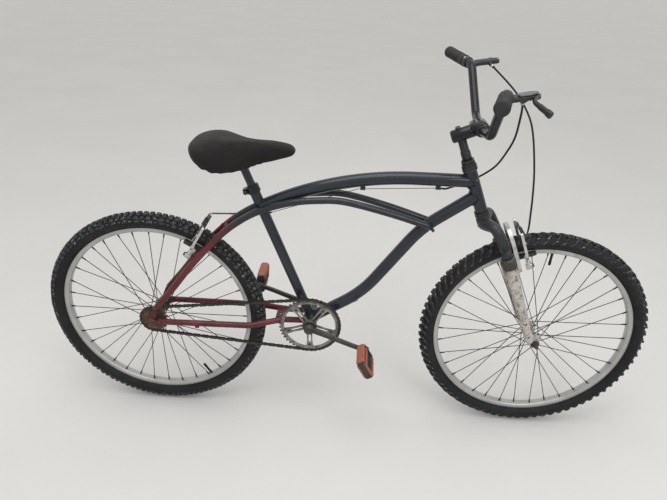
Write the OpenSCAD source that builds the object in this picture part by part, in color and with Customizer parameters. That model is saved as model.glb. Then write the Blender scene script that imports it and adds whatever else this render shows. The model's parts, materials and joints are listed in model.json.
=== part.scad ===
// City cruiser bicycle with 26-inch wire wheels, one gear and rim brakes.
// Lengths in millimetres, +X forward, +Y to the rider's left, +Z up.
// The origin is on top of the saddle, where the rider sits.

/* [Wheels] */
// Outer radius of both tyres
tyre_r = 330; // [322:1:338]
// Width of the tyres
tyre_w = 53; // [44:1:56]
// Radius of the outer edge of the rims
rim_r = 285.5; // [283:0.5:288]
// Width of the rims
rim_w = 25; // [22:0.5:30]
// Depth of the rims
rim_h = 20; // [16:1:24]
// Number of spokes in each wheel
spoke_count = 36; // [28, 32, 36, 40]
// Diameter of the spokes
spoke_d = 2.2; // [1.8:0.1:2.6]
// Distance between the two axles
wheelbase = 1120; // [1090:5:1160]
// Diameter of the axles
axle_d = 10; // [9:0.5:11]
// Width of the front hub between the fork ends
front_hub_w = 100; // [96:1:104]
// Width of the rear hub between the dropouts
rear_hub_w = 116; // [114:1:120]

/* [Frame] */
// Distance from the rear axle to the crank axle
stay_l = 466; // [455:1:480]
// Height of the crank axle above the wheel axles
bb_rise = 10; // [0:1:20]
// Angle of the seat tube to the ground
seat_angle = 68.5; // [67:0.5:71]
// Length of the seat tube from the crank axle to its top
seat_tube_l = 448; // [430:2:470]
// Diameter of the seat tube
seat_tube_d = 28.6; // [28:0.1:32]
// Diameter of the top tube
top_tube_d = 35; // [30:0.5:38]
// Height of the front of the top tube above the axles
top_tube_z = 467; // [455:1:475]
// Distance along the seat tube from its top down to the middle of the top tube
top_tube_drop = 66.4; // [50:1:80]
// Distance behind the front axle where the top tube's curve begins
top_tube_straight = 380; // [360:2:400]
// Diameter of the down tube
down_tube_d = 38; // [34:0.5:42]
// Diameter of the twin tubes
twin_d = 16; // [14:0.5:18]
// Height of the highest point of the twin tubes above the axles
twin_top_z = 402; // [398:1:410]
// Diameter of the chain stays
chain_stay_d = 18; // [16:0.5:20]
// Outer diameter of the crank bearing shell
shell_d = 40; // [38:0.5:44]
// Width of the crank bearing shell
shell_w = 68; // [66:1:72]
// Diameter of the kickstand's bolt hole in its plate
stand_hole_d = 10; // [8:0.5:12]

/* [Head and fork] */
// Angle of the steering axis to the ground
head_angle = 68; // [66:0.5:71]
// Length of the head tube
head_tube_l = 120; // [110:2:140]
// Diameter of the head tube
head_tube_d = 33; // [32:0.5:37]
// Diameter of the steerer
steerer_d = 25.4; // [25.4, 28.6]
// Distance of the front axle in front of the steering axis
fork_offset = 43; // [38:1:48]
// Length along the steering axis from the front axle to the head tube
fork_l = 433; // [425:1:445]
// Distance of the fork's legs in front of the steering axis
leg_offset = 30; // [26:1:34]
// Distance from the middle to the centre of each leg
leg_y = 60; // [58:1:64]
// Diameter of the upper legs
upper_leg_d = 28; // [25:1:30]
// Diameter of the lower legs at their top
lower_leg_d = 32; // [30:1:35]

/* [Cockpit] */
// Forward reach of the stem from the steering axis to the bar
stem_reach = 52; // [40:1:60]
// Diameter of the handlebar
bar_d = 22.2; // [22:0.1:25.4]
// Distance from the middle to each end of the handlebar
bar_half_w = 346; // [320:2:360]
// Rise of the grips above the bar's middle
bar_rise = 118; // [100:2:140]
// Diameter of the grips
grip_d = 32; // [29:0.5:35]
// Length of the grips
grip_l = 120; // [110:1:130]
// Length of the brake lever blades
lever_l = 88; // [75:1:100]

/* [Saddle] */
// Length of the saddle
saddle_l = 280; // [260:2:300]
// Width of the saddle at its back
saddle_w = 172; // [150:2:190]
// Thickness of the saddle's pad at its back
saddle_h = 56; // [45:1:65]
// Length of the seatpost that shows above the seat tube
seatpost_out = 54; // [40:1:120]
// Diameter of the seatpost
seatpost_d = 22.2; // [22:0.1:25]

/* [Drivetrain] */
// Teeth of the chainring
ring_teeth = 44; // [42, 44, 46]
// Teeth of the sprocket
sprocket_teeth = 20; // [18, 20, 22]
// Pitch of the chain
chain_pitch = 12.7; // [12.7]
// Distance of the chain from the middle of the bike
chain_y = 44; // [43:0.5:45]
// Length of the cranks
crank_l = 175; // [165:1:178]
// Angle of the right crank below the horizontal, towards the front
crank_angle = 17; // [0:1:90]
// Diameter of the crank axle
crank_axle_d = 17; // [15:0.5:18]
// Length of the pedals across the bike
pedal_l = 90; // [80:1:100]
// Width of the pedals' tread
pedal_w = 74; // [60:1:84]
// Thickness of the pedals
pedal_h = 26; // [22:1:30]

/* [Brakes] */
// Distance from the wheel axle to the brake arm pivots
brake_pivot_r = 252; // [250:1:255]
// Distance of the pivots from the middle of the bike
brake_pivot_y = 40; // [39:0.5:42]
// Length of the brake arms above their pivots
brake_arm_l = 102; // [98:1:108]
// Outer diameter of the cable housings
housing_d = 5; // [4:0.5:6]

/* [Hidden] */
$fn = 48;

// Gap between two pieces that are welded, pressed or seated together
seat_gap = 0.3;
// Radial clearance of a shaft that turns in its bearing
run_gap = 0.05;

// Front brake pivots, measured along the steering axis
front_brake_x = leg_offset + 42;
front_pivot_z = sqrt(pow(brake_pivot_r, 2) - pow(front_brake_x - fork_offset, 2));

// Rear brake pivots, measured from the rear axle, and the way from them to the twin tubes
rear_brake_a = 59.5;
rear_pivot = brake_pivot_r * [cos(rear_brake_a), 0, sin(rear_brake_a)];
rear_stud_dir = [sin(rear_brake_a), 0, -cos(rear_brake_a)];

bb = [stay_l, 0, bb_rise];
seat_dir = [-cos(seat_angle), 0, sin(seat_angle)];

// Seatpost's top, and where the rider sits over it, measured from the rear axle
post_top = seat_tube_l + seatpost_out;
post_end = bb + post_top * seat_dir;
rail_rise = 9.9304;
rail_drop = 9;
rider_back = 50.0164;
rider_x = post_end[0] - rider_back;
saddle_z = post_end[2] + rail_rise + rail_drop + saddle_h;
steer_foot = [wheelbase - fork_offset * sin(head_angle), 0, -fork_offset * cos(head_angle)];
steer_dir = [-cos(head_angle), 0, sin(head_angle)];
head_low = steer_foot + fork_l * steer_dir;
head_high = head_low + head_tube_l * steer_dir;
cup_h = 13;
cup_d = head_tube_d + 6;
race_h = 6;
stem_z = fork_l + head_tube_l + 99;

function unit(v) = v / norm(v);

// Direction of a route at one of its points
function heading(p, i) = unit(p[min(i + 1, len(p) - 1)] - p[max(i - 1, 0)]);

// Round section of a route at one of its points
function section_ring(p, i, r, sides, across) =
    let (t = heading(p, i), n = unit(cross(t, across)), b = cross(t, n))
    [for (k = [0 : sides - 1]) p[i] + r * (cos(360 * k / sides) * n + sin(360 * k / sides) * b)];

// Corner b of a route between a and c, rounded to about radius r in n steps
function corner(a, b, c, r, n) =
    let (d = unit(b - a), e = unit(c - b), cut = r * tan(acos(min(1, d * e)) / 2))
    [for (k = [0 : n]) let (t = k / n)
        (1 - t) * (1 - t) * (b - cut * d) + 2 * t * (1 - t) * b + t * t * (b + cut * e)];

// Route through the points p with each corner rounded to radius r
function rounded(p, r, n) = [
    p[0],
    for (i = [1 : len(p) - 2]) each corner(p[i - 1], p[i], p[i + 1], r, n),
    p[len(p) - 1]
];

// Smooth route through hand-placed points, n steps between each two
function smooth(p, n) = [
    for (i = [0 : len(p) - 2])
        let (a = p[max(i - 1, 0)], b = p[i], c = p[i + 1], d = p[min(i + 2, len(p) - 1)])
        for (k = [0 : n - 1]) let (t = k / n)
            b + 0.5 * t * ((c - a) + t * ((2 * a - 5 * b + 4 * c - d) + t * (3 * b - 3 * c + d - a))),
    p[len(p) - 1]
];

// Solid tube of radius r along the route p; across is a direction that the route never takes
module swept(p, r, sides, across) {
    count = len(p);
    points = [for (i = [0 : count - 1]) each section_ring(p, i, r, sides, across)];
    low_cap = [for (k = [0 : sides - 1]) k];
    high_cap = [for (k = [sides - 1 : -1 : 0]) (count - 1) * sides + k];
    sides_faces = [
        for (i = [0 : count - 2]) for (k = [0 : sides - 1])
            let (a = i * sides + k, b = i * sides + (k + 1) % sides)
            each [[a, a + sides, b], [b, a + sides, b + sides]]
    ];
    polyhedron(points = points, faces = concat([low_cap], sides_faces, [high_cap]));
}

// Straight round bar from a to b
module rod(a, b, r) {
    d = b - a;
    translate(a) rotate([0, acos(d[2] / norm(d)), atan2(d[1], d[0])]) cylinder(h = norm(d), r = r);
}

// Round bar across the bike between y0 and y1, at x and z
module cross_bar(y0, y1, r, x = 0, z = 0) {
    translate([x, y0, z]) rotate([-90, 0, 0]) cylinder(h = y1 - y0, r = r);
}

// Plate parallel to the wheels: a flat shape in X and Z, between y0 and y1
module side_plate(y0, y1) {
    translate([0, y1, 0]) rotate([90, 0, 0]) linear_extrude(y1 - y0) children();
}

// Moves a piece measured from the rear axle into the bike's frame
module from_rear_axle() {
    translate([-rider_x, 0, -saddle_z]) children();
}

// Moves a piece measured along the steering axis into the bike's frame
module from_steering() {
    from_rear_axle() translate(steer_foot) rotate([0, head_angle - 90, 0]) children();
}

// Moves a wheel piece, made about its own axis, to the front axle
module at_front_axle() {
    from_rear_axle() translate([wheelbase, 0, 0]) children();
}

// Moves a piece made about the crank axle, at the crank's angle
module at_crank() {
    from_rear_axle() translate(bb) rotate([0, crank_angle, 0]) children();
}

// Tyre: a round casing that closes in to two beads inside the rim
bead_y = rim_w / 2 - 1.7;
casing_r = tyre_w / 2;
casing_at = tyre_r - casing_r;
casing_wall = 4;
bead_seat_r = rim_r - 6;

module tyre() {
    rotate([90, 0, 0]) rotate_extrude($fn = 96) difference() {
        union() {
            intersection() {
                translate([casing_at, 0]) circle(r = casing_r);
                translate([rim_r + 0.6, -casing_r]) square([2 * casing_r, 2 * casing_r]);
            }
            translate([bead_seat_r + 0.3, -bead_y]) square([rim_r - bead_seat_r + 6, 2 * bead_y]);
        }
        intersection() {
            translate([casing_at, 0]) circle(r = casing_r - casing_wall);
            translate([rim_r + casing_wall, -casing_r]) square([2 * casing_r, 2 * casing_r]);
        }
        translate([bead_seat_r - 1, 3 - bead_y]) square([rim_r - bead_seat_r + 12, 2 * bead_y - 6]);
    }
}

// Rim: a channel for the beads over a box whose inner corners are cut back
module rim() {
    half = rim_w / 2;
    channel = half - 1.4;
    low = rim_r - rim_h;
    rotate([90, 0, 0]) rotate_extrude($fn = 96) polygon([
        [low, -half + 5], [low + 5, -half], [rim_r, -half], [rim_r, -channel],
        [bead_seat_r, -channel], [bead_seat_r, -5], [bead_seat_r - 3, -3], [bead_seat_r - 3, 3],
        [bead_seat_r, 5], [bead_seat_r, channel], [rim_r, channel], [rim_r, half],
        [low + 5, half], [low, half - 5]
    ]);
}

// Spokes: on each flange every second one leads, and the others trail
flange_t = 3;
flange_r = 22;
hole_circle_r = 19.5;
spoke_lean = 60;
rim_side_y = 2.4;

module spokes(right_y, left_y) {
    rim_end_r = rim_r - rim_h - seat_gap;
    for (i = [0 : spoke_count - 1]) {
        side = i % 2 == 0 ? -1 : 1;
        turn = floor(i / 2) % 2 == 0 ? 1 : -1;
        flange_y = side < 0 ? -right_y : left_y;
        hub_y = flange_y + side * turn * (flange_t / 2 + spoke_d / 2 + 0.5);
        rim_a = 360 * i / spoke_count;
        hub_a = rim_a + turn * spoke_lean;
        hub_end = [hole_circle_r * cos(hub_a), hub_y, hole_circle_r * sin(hub_a)];
        rim_end = [rim_end_r * cos(rim_a), side * rim_side_y, rim_end_r * sin(rim_a)];
        rod(hub_end, rim_end, spoke_d / 2, $fn = 8);
    }
}

// Hub shell with two flanges, bored for its axle; it reaches out to right_end and left_end
module hub_shell(right_y, left_y, right_end, left_end, barrel_r) {
    difference() {
        union() {
            cross_bar(-right_y, left_y, barrel_r);
            cross_bar(-right_end, left_end, 10);
            cross_bar(-right_y - flange_t / 2, -right_y + flange_t / 2, flange_r);
            cross_bar(left_y - flange_t / 2, left_y + flange_t / 2, flange_r);
        }
        cross_bar(-right_end - 1, left_end + 1, axle_d / 2 + run_gap);
    }
}

// Axle with its lock nuts inside and its hexagon nuts and washers outside plates of thickness t
module axle_with_nuts(hub_w, t) {
    end_y = hub_w / 2 + t;
    cross_bar(-end_y - 18, end_y + 18, axle_d / 2);
    for (side = [-1, 1]) {
        mirror([0, side < 0 ? 1 : 0, 0]) {
            cross_bar(hub_w / 2 - 4.7, hub_w / 2 - seat_gap, 8);
            cross_bar(end_y + seat_gap, end_y + 2, 9.5);
            translate([0, end_y + 2, 0]) rotate([-90, 0, 0]) cylinder(h = 8, r = 8.7, $fn = 6);
        }
    }
}

// Frame tubes
module seat_tube_line(r) {
    rod(bb, bb + seat_tube_l * seat_dir, r);
}

module head_line(r) {
    rod(head_low - 60 * steer_dir, head_high + 60 * steer_dir, r);
}

module shell_hole() {
    cross_bar(-shell_w, shell_w, shell_d / 2 + seat_gap, bb[0], bb[2]);
}

module head_tube() {
    color("#27343c") from_rear_axle() difference() {
        rod(head_low, head_high, head_tube_d / 2);
        head_line(steerer_d / 2 + 1.6);
    }
}

// Two pressed cups with the races and the lock nut that the steerer turns in
module headset() {
    low_z = fork_l - seat_gap;
    high_z = fork_l + head_tube_l + seat_gap;
    color("#2a2c2e") from_steering() difference() {
        union() {
            translate([0, 0, low_z - cup_h]) cylinder(h = cup_h, r = cup_d / 2);
            translate([0, 0, high_z]) cylinder(h = cup_h, r = cup_d / 2);
            translate([0, 0, high_z + cup_h]) cylinder(h = 8, r = cup_d / 2 - 2);
            translate([0, 0, high_z + cup_h + 8]) cylinder(h = 9, r = cup_d / 2 - 3, $fn = 6);
        }
        translate([0, 0, fork_l - 60]) cylinder(h = head_tube_l + 140, r = steerer_d / 2 + run_gap);
    }
}

// Top tube: straight behind the head tube, then one long curve down to the seat tube
top_tube_straight_x = wheelbase - top_tube_straight;
top_tube_foot = bb + (seat_tube_l - top_tube_drop) * seat_dir;
top_tube_run = top_tube_straight_x - top_tube_foot[0];
top_tube_fall = top_tube_z - top_tube_foot[2];
top_tube_bend = (pow(top_tube_run, 2) + pow(top_tube_fall, 2)) / (2 * top_tube_fall);
stop_back_x = wheelbase - 520;
stop_front_x = wheelbase - 324;

module top_tube() {
    sweep_a = asin(top_tube_run / top_tube_bend) + 2.5;
    color("#27343c") from_rear_axle() difference() {
        union() {
            rod([top_tube_straight_x, 0, top_tube_z], [head_high[0] + 20, 0, top_tube_z], top_tube_d / 2);
            translate([top_tube_straight_x, 0, top_tube_z - top_tube_bend]) rotate([90, 0, 0])
                rotate([0, 0, 90]) rotate_extrude(angle = sweep_a, $fn = 240)
                    translate([top_tube_bend, 0]) circle(r = top_tube_d / 2);
            for (x = [stop_back_x, stop_front_x]) cable_stop(x);
        }
        head_line(head_tube_d / 2 + seat_gap);
        seat_tube_line(seat_tube_d / 2 + seat_gap);
        translate([bb[0], 0, bb[2]]) rotate([0, -90 + seat_angle, 0])
            translate([-150, -50, seat_tube_l - top_tube_drop - 130]) cube([150, 100, 250]);
    }
}

// Middle of a cable stop's bore
function stop_at(x) = [x, cable_y, top_tube_mid(x) - top_tube_d / 2 - stop_drop];

// Height of the top tube's middle at a distance x from the rear axle
function top_tube_mid(x) = x > top_tube_straight_x ? top_tube_z :
    top_tube_z - top_tube_bend + sqrt(pow(top_tube_bend, 2) - pow(x - top_tube_straight_x, 2));

cable_y = -6;
wire_d = 1.6;
stop_drop = 5;

// Small cable stop under the top tube
stop_half = 7;

module cable_stop(x) {
    translate(stop_at(x)) difference() {
        union() {
            rod([-stop_half, 0, 0], [stop_half, 0, 0], 4);
            translate([1 - stop_half, -2, 0]) cube([2 * stop_half - 2, 4, stop_drop + 4]);
        }
        rod([-stop_half - 1, 0, 0], [stop_half + 1, 0, 0], wire_d / 2 + 0.2);
    }
}

// Corners of the down tube's middle line, from the head tube to the crank axle
down_top_x = wheelbase - 220;
down_top = [down_top_x, 0, 428];
down_upper = [bb[0] + 0.6774 * (down_top_x - bb[0]), 0, 312.5];
down_lower = [bb[0] + 0.4355 * (down_top_x - bb[0]), 0, 175];
down_bend = 260;

module down_tube() {
    middle = rounded([down_top, down_upper, down_lower, bb], down_bend, 8);
    color("#27343c") from_rear_axle() difference() {
        swept(middle, down_tube_d / 2, 24, [0, 1, 0]);
        head_line(head_tube_d / 2 + seat_gap);
        seat_tube_line(seat_tube_d / 2 + seat_gap);
        shell_hole();
    }
}

module seat_tube() {
    color("#27343c") from_rear_axle() difference() {
        seat_tube_line(seat_tube_d / 2);
        rod(bb + (seat_tube_l - post_bore_l) * seat_dir, bb + (seat_tube_l + 10) * seat_dir, seatpost_d / 2 + 0.15);
        shell_hole();
    }
}

// Split collar with its bolt behind the seat tube
module seat_clamp() {
    base = seat_tube_l - 22;
    collar_r = seat_tube_d / 2 + 3.5;
    color("#2a2c2e") from_rear_axle() translate(bb) rotate([0, seat_angle - 90, 0]) difference() {
        union() {
            translate([0, 0, base]) cylinder(h = 20, r = collar_r);
            translate([-collar_r - 9, -9, base + 2]) cube([14, 18, 16]);
            cross_bar(-14, 14, 3.5, -collar_r - 3, base + 10);
        }
        translate([0, 0, base - 1]) cylinder(h = 22, r = seat_tube_d / 2 + 0.1);
        translate([-collar_r - 10, -1.5, base - 1]) cube([collar_r, 3, 8]);
    }
}

// Twin tubes: from each dropout up beside the seat tube and forward to the down tube.
// Rows: [share of the way: 0 at the dropout, 1 at the seat tube, 2 at the down tube;
// height as a share of the highest point]
twin_table = [
    [0, 0.124], [0.18, 0.294], [0.37, 0.485], [0.6, 0.682], [0.79, 0.808], [1, 0.903],
    [1.18, 0.973], [1.35, 1], [1.5, 0.998], [1.75, 0.93], [2, 0.841]
];
twin_low_x = 16;
twin_seat_x = bb[0] - (0.903 * twin_top_z - bb[2]) / tan(seat_angle);
twin_front_x = wheelbase - 320;
twin_end_y = rear_hub_w / 2 + 3;
twin_seat_y = top_tube_d / 2 + twin_d / 2 + seat_gap;
twin_head_y = down_tube_d / 2 + twin_d / 2 + seat_gap;
twin_low = [twin_low_x, 0, twin_table[0][1] * twin_top_z];
twin_low_a = 52;

function twin_x(share) = share < 1 ? twin_low_x + share * (twin_seat_x - twin_low_x) :
    twin_seat_x + (share - 1) * (twin_front_x - twin_seat_x);

// Sideways place of the twin tubes: out at the dropouts, in beside the seat tube
function twin_side(share) =
    share < 0.3 ? twin_end_y - 12 * share :
    share < 1 ? let (t = (share - 0.3) / 0.7)
        twin_end_y - 3.6 - (twin_end_y - 3.6 - twin_seat_y) * (1 - (1 - t) * (1 - t)) :
    share < 1.6 ? twin_seat_y :
    twin_seat_y + (twin_head_y - twin_seat_y) * (share - 1.6) / 0.4;

function twin_route(side) = smooth([
    for (row = twin_table) [twin_x(row[0]), side * twin_side(row[0]), row[1] * twin_top_z]
], 3);

module twin_tube(side) {
    stud = rear_pivot + [0, side * brake_pivot_y, 0];
    difference() {
        union() {
            swept(twin_route(side), twin_d / 2, 16, [0, 1, 0]);
            rod(stud + 24 * rear_stud_dir, stud + 0.3 * rear_stud_dir, 8);
        }
        for (s = [-1, 1]) translate([-60, s < 0 ? -200 : 0, -60]) cube([60, 200, 60]);
    }
}

module twin_tube_right() {
    color("#4a1d20") from_rear_axle() twin_tube(-1);
}

module twin_tube_left() {
    color("#4a1d20") from_rear_axle() twin_tube(1);
}

// Chain stays, each with its dropout plate
dropout_t = 6;
stay_side_y = rear_hub_w / 2 + dropout_t / 2;
stay_front_y = 28.5;

module chain_stay(side) {
    route = [
        [34, side * stay_side_y, 4], [290, side * (stay_side_y - 4), 6],
        [384, side * stay_front_y, 15], [bb[0] - 8, side * (stay_front_y - 3), 15]
    ];
    inner = side * stay_side_y - dropout_t / 2;
    difference() {
        union() {
            swept(rounded(route, 90, 4), chain_stay_d / 2, 16, [0, 0, 1]);
            side_plate(inner, inner + dropout_t) dropout_outline();
        }
        shell_hole();
        cross_bar(-80, 80, axle_d / 2 + run_gap);
    }
}

// Outline of a dropout: axle end, stay ends and a three-cornered hole between them
module dropout_outline() {
    difference() {
        union() {
            hull() {
                translate([-4, 0]) circle(r = 15);
                translate([34, 4]) circle(r = 8);
            }
            hull() {
                translate([0, 2]) circle(r = 13);
                translate([twin_low[0] - 4, twin_low[2] - 6]) circle(r = 7);
            }
        }
        translate([-30, -axle_d / 2 - run_gap]) square([30, axle_d + 2 * run_gap]);
        translate([twin_low[0], twin_low[2]]) rotate([0, 0, twin_low_a])
            translate([-seat_gap - 0.6, -15]) square([30, 30]);
        polygon([[11, 10], [21, 9], [12, 18]]);
    }
}

module chain_stay_right() {
    color("#4a1d20") from_rear_axle() chain_stay(-1);
}

module chain_stay_left() {
    color("#4a1d20") from_rear_axle() chain_stay(1);
}

// Crank bearing shell, open right through
module bottom_bracket() {
    color("#27343c") from_rear_axle() difference() {
        cross_bar(-shell_w / 2, shell_w / 2, shell_d / 2, bb[0], bb[2]);
        cross_bar(-shell_w, shell_w, shell_d / 2 - 3, bb[0], bb[2]);
    }
}

// Bearing cups screwed into both ends of the shell
module bearing_cups() {
    color("#2a2c2e") from_rear_axle() translate(bb) for (side = [-1, 1])
        mirror([0, side < 0 ? 1 : 0, 0]) difference() {
            union() {
                cross_bar(shell_w / 2 - 14, shell_w / 2 + 1, shell_d / 2 - 3 - run_gap);
                cross_bar(shell_w / 2 + seat_gap, shell_w / 2 + 4, shell_d / 2 - 1);
            }
            cross_bar(0, shell_w, crank_axle_d / 2 + run_gap);
        }
}

// Plate between the chain stays with the kickstand's bolt hole
stand_x = 376;
stand_z = 15;
stand_t = 5;

module stand_plate() {
    half = stay_front_y - chain_stay_d / 2 - 0.6;
    color("#4a1d20") from_rear_axle() difference() {
        translate([stand_x - 14, -half, stand_z - stand_t / 2]) cube([30, 2 * half, stand_t]);
        translate([stand_x, 0, stand_z - 10]) cylinder(h = 20, r = stand_hole_d / 2);
    }
}

// Cross piece between the twin tubes above the tyre, with its bolt
bridge_x = 232;

module brake_bridge() {
    near = [for (p = smooth(twin_route(1), 4)) if (abs(p[0] - bridge_x) < 12) p][0];
    color("#4a1d20") from_rear_axle() {
        cross_bar(-near[1] + twin_d / 2 + 1, near[1] - twin_d / 2 - 1, 6, near[0], near[2]);
        rod([near[0] - 10, 0, near[2] + 12], [near[0] + 10, 0, near[2] - 12], 4);
    }
}

module rear_axle() {
    color("#8a8378") from_rear_axle() axle_with_nuts(rear_hub_w, dropout_t);
}

// Seatpost, pushed into the seat tube
post_in = 100;
post_bore_l = 170;

module seatpost() {
    color("#27343c") from_rear_axle() rod(bb + (seat_tube_l - post_in) * seat_dir, post_end, seatpost_d / 2);
}

// Two saddle rails with the clamp that holds them on the seatpost
rail_y = 21;
rail_z = saddle_z - saddle_h - rail_drop;
rail_d = 7;

module saddle_rails() {
    clamp_at = bb + (post_top - 22) * seat_dir;
    back = rider_x - saddle_l * 0.22;
    front = rider_x + saddle_l * 0.53;
    color("#3a3a3a") from_rear_axle() {
        for (side = [-1, 1]) {
            swept(rounded([
                [back, side * rail_y * 1.7, rail_z + 9], [back + 20, side * rail_y * 1.3, rail_z],
                [back + 60, side * rail_y, rail_z], [front - 60, side * rail_y, rail_z],
                [front, side * 8, rail_z + 9]
            ], 16, 3), rail_d / 2, 10, [0, 0, 1]);
        }
        difference() {
            union() {
                rod(clamp_at, clamp_at + 22 * seat_dir, seatpost_d / 2 + 5);
                cross_bar(-rail_y - 6, rail_y + 6, 9, post_end[0] + 2, rail_z);
            }
            rod(clamp_at - seat_dir, clamp_at + 22.4 * seat_dir, seatpost_d / 2 + 0.1);
        }
    }
}

// Half width, top and bottom of the saddle along its length, from back to nose:
// [share of the length, half width share, drop of the top, rise of the bottom]
saddle_table = [
    [0, 0.30, 22, 16], [0.03, 0.62, 12, 8], [0.09, 0.84, 5, 3], [0.18, 0.97, 1, 0], [0.28, 1, 0, 0],
    [0.40, 0.88, 3, 1], [0.50, 0.66, 5, 3], [0.60, 0.46, 7, 6], [0.70, 0.36, 8, 9],
    [0.80, 0.31, 9, 11], [0.90, 0.27, 11, 13], [0.96, 0.21, 15, 15], [1, 0.09, 23, 20]
];
saddle_sides = 20;

// Section of the saddle: a low crown over sides that pull in to the base
function saddle_ring(row) =
    let (
        x = rider_x - saddle_l * 0.325 + row[0] * saddle_l,
        w = row[1] * saddle_w / 2,
        top = saddle_z - row[2],
        low = saddle_z - saddle_h + row[3],
        mid = (top + low) / 2 - (top - low) * 0.12
    )
    [for (k = [0 : saddle_sides - 1])
        let (a = 360 * k / saddle_sides, c = cos(a), s = sin(a))
        [x, w * sign(c) * pow(abs(c), 0.62), mid + sign(s) * pow(abs(s), 0.72) * (s > 0 ? top - mid : mid - low)]];

module saddle() {
    count = len(saddle_table);
    points = [for (row = saddle_table) each saddle_ring(row)];
    back = [for (k = [saddle_sides - 1 : -1 : 0]) k];
    nose = [for (k = [0 : saddle_sides - 1]) (count - 1) * saddle_sides + k];
    skin = [
        for (i = [0 : count - 2]) for (k = [0 : saddle_sides - 1])
            let (a = i * saddle_sides + k, b = i * saddle_sides + (k + 1) % saddle_sides)
            each [[a, b, a + saddle_sides], [b, b + saddle_sides, a + saddle_sides]]
    ];
    color("#1d1a19") from_rear_axle() polyhedron(points = points, faces = concat([back], skin, [nose]));
}

// Chain: two rows of side plates in one loop, with rollers on the straight runs
function pitch_r(teeth) = chain_pitch / (2 * sin(180 / teeth));
ring_r = pitch_r(ring_teeth);
sprocket_r = pitch_r(sprocket_teeth);
centres = norm(bb);
run_a = asin((ring_r - sprocket_r) / centres);
run_l = centres * cos(run_a);
plate_half = 4.1;
plate_in = 1.7;
plate_out = 3.6;
roller_free = 42;

// Loop round both wheels at a distance from the pitch line
module belt(away) {
    small = sprocket_r + away;
    big = ring_r + away;
    circle(r = small, $fn = 96);
    translate([centres, 0]) circle(r = big, $fn = 96);
    polygon([
        small * [-sin(run_a), cos(run_a)], [centres, 0] + big * [-sin(run_a), cos(run_a)],
        [centres, 0] + big * [-sin(run_a), -cos(run_a)], small * [-sin(run_a), -cos(run_a)]
    ]);
}

module chain() {
    color("#5b4a3c") from_rear_axle() rotate([0, -atan2(bb[2], bb[0]), 0]) translate([0, -chain_y, 0]) {
        for (side = [-1, 1])
            side_plate(side > 0 ? plate_in : -plate_out, side > 0 ? plate_out : -plate_in) difference() {
                belt(plate_half);
                belt(-plate_half);
            }
        for (up = [-1, 1]) for (d = [roller_free : chain_pitch : run_l - roller_free]) {
            start = sprocket_r * [-sin(run_a), up * cos(run_a)];
            at = start + d * [cos(run_a), up * sin(run_a)];
            cross_bar(-plate_out, plate_out, 3.2, at[0], at[1], $fn = 8);
        }
    }
}

// Outline of a toothed wheel
module toothed(teeth) {
    r = pitch_r(teeth);
    step = 360 / teeth;
    polygon([for (i = [0 : teeth - 1]) each [
        for (p = [[-0.5, -3.6], [-0.30, -2.2], [-0.11, 2.6], [0.11, 2.6], [0.30, -2.2]])
            (r + p[1]) * [cos(step * (i + p[0])), sin(step * (i + p[0]))]
    ]]);
}

// Freewheel with its toothed rim, screwed on the rear hub
sprocket_t = 2.2;

module sprocket() {
    color("#6b4a33") from_rear_axle() difference() {
        union() {
            side_plate(-chain_y - sprocket_t / 2, -chain_y + sprocket_t / 2) toothed(sprocket_teeth);
            cross_bar(-chain_y - 6, -chain_y + 7, sprocket_r - 9);
        }
        cross_bar(-chain_y - 20, -chain_y + 20, rear_hub_end_r + 0.1);
    }
}

rear_flange_right = 28;
rear_flange_left = 34;
front_flange = 30;
rear_hub_end_r = 17;

module front_tyre() {
    color("#1b1b1b") at_front_axle() tyre();
}

module front_rim() {
    color("#b9bcbe") at_front_axle() rim();
}

module front_spokes() {
    color("#4b4b4b") at_front_axle() spokes(front_flange, front_flange);
}

module front_hub() {
    end = front_hub_w / 2 - 5.4;
    color("#9a9a98") at_front_axle() hub_shell(front_flange, front_flange, end, end, 13);
}

module rear_tyre() {
    color("#1b1b1b") from_rear_axle() tyre();
}

module rear_rim() {
    color("#b9bcbe") from_rear_axle() rim();
}

module rear_spokes() {
    color("#4b4b4b") from_rear_axle() spokes(rear_flange_right, rear_flange_left);
}

module rear_hub() {
    end = rear_hub_w / 2 - 5.4;
    color("#9a9a98") from_rear_axle() difference() {
        union() {
            hub_shell(rear_flange_right, rear_flange_left, end, end, 16);
            cross_bar(-chain_y - 5, -rear_flange_right, rear_hub_end_r);
        }
        cross_bar(-60, 60, axle_d / 2 + run_gap);
    }
}

// Chainring with five arms
ring_t = 2.4;

module chainring() {
    color("#56585a") at_crank() difference() {
        union() {
            side_plate(-chain_y - ring_t / 2, -chain_y + ring_t / 2) difference() {
                toothed(ring_teeth);
                circle(r = ring_r - 17);
            }
            side_plate(-chain_y - 4, -chain_y + ring_t / 2) for (i = [0 : 4]) rotate([0, 0, 72 * i])
                difference() {
                    translate([10, -11]) square([ring_r - 22, 22]);
                    translate([34, -3.5]) square([22, 7]);
                    translate([34, 0]) circle(r = 3.5);
                    translate([56, 0]) circle(r = 3.5);
                }
            cross_bar(-chain_y - 9, -chain_y + 3, 21);
        }
        cross_bar(-80, 0, crank_axle_d / 2 + 0.1);
    }
}

// Crank axle, turning in the bearing cups
crank_boss_y = 62;

module crank_axle() {
    color("#3a3a3a") at_crank() cross_bar(-crank_boss_y, crank_boss_y, crank_axle_d / 2);
}

// Crank arm: a boss on the axle, an arm that flares outwards and the pedal's axle
arm_root_y = 64;
arm_tip_y = 79;
arm_t = 13;
pedal_axle_d = 9;

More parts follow.
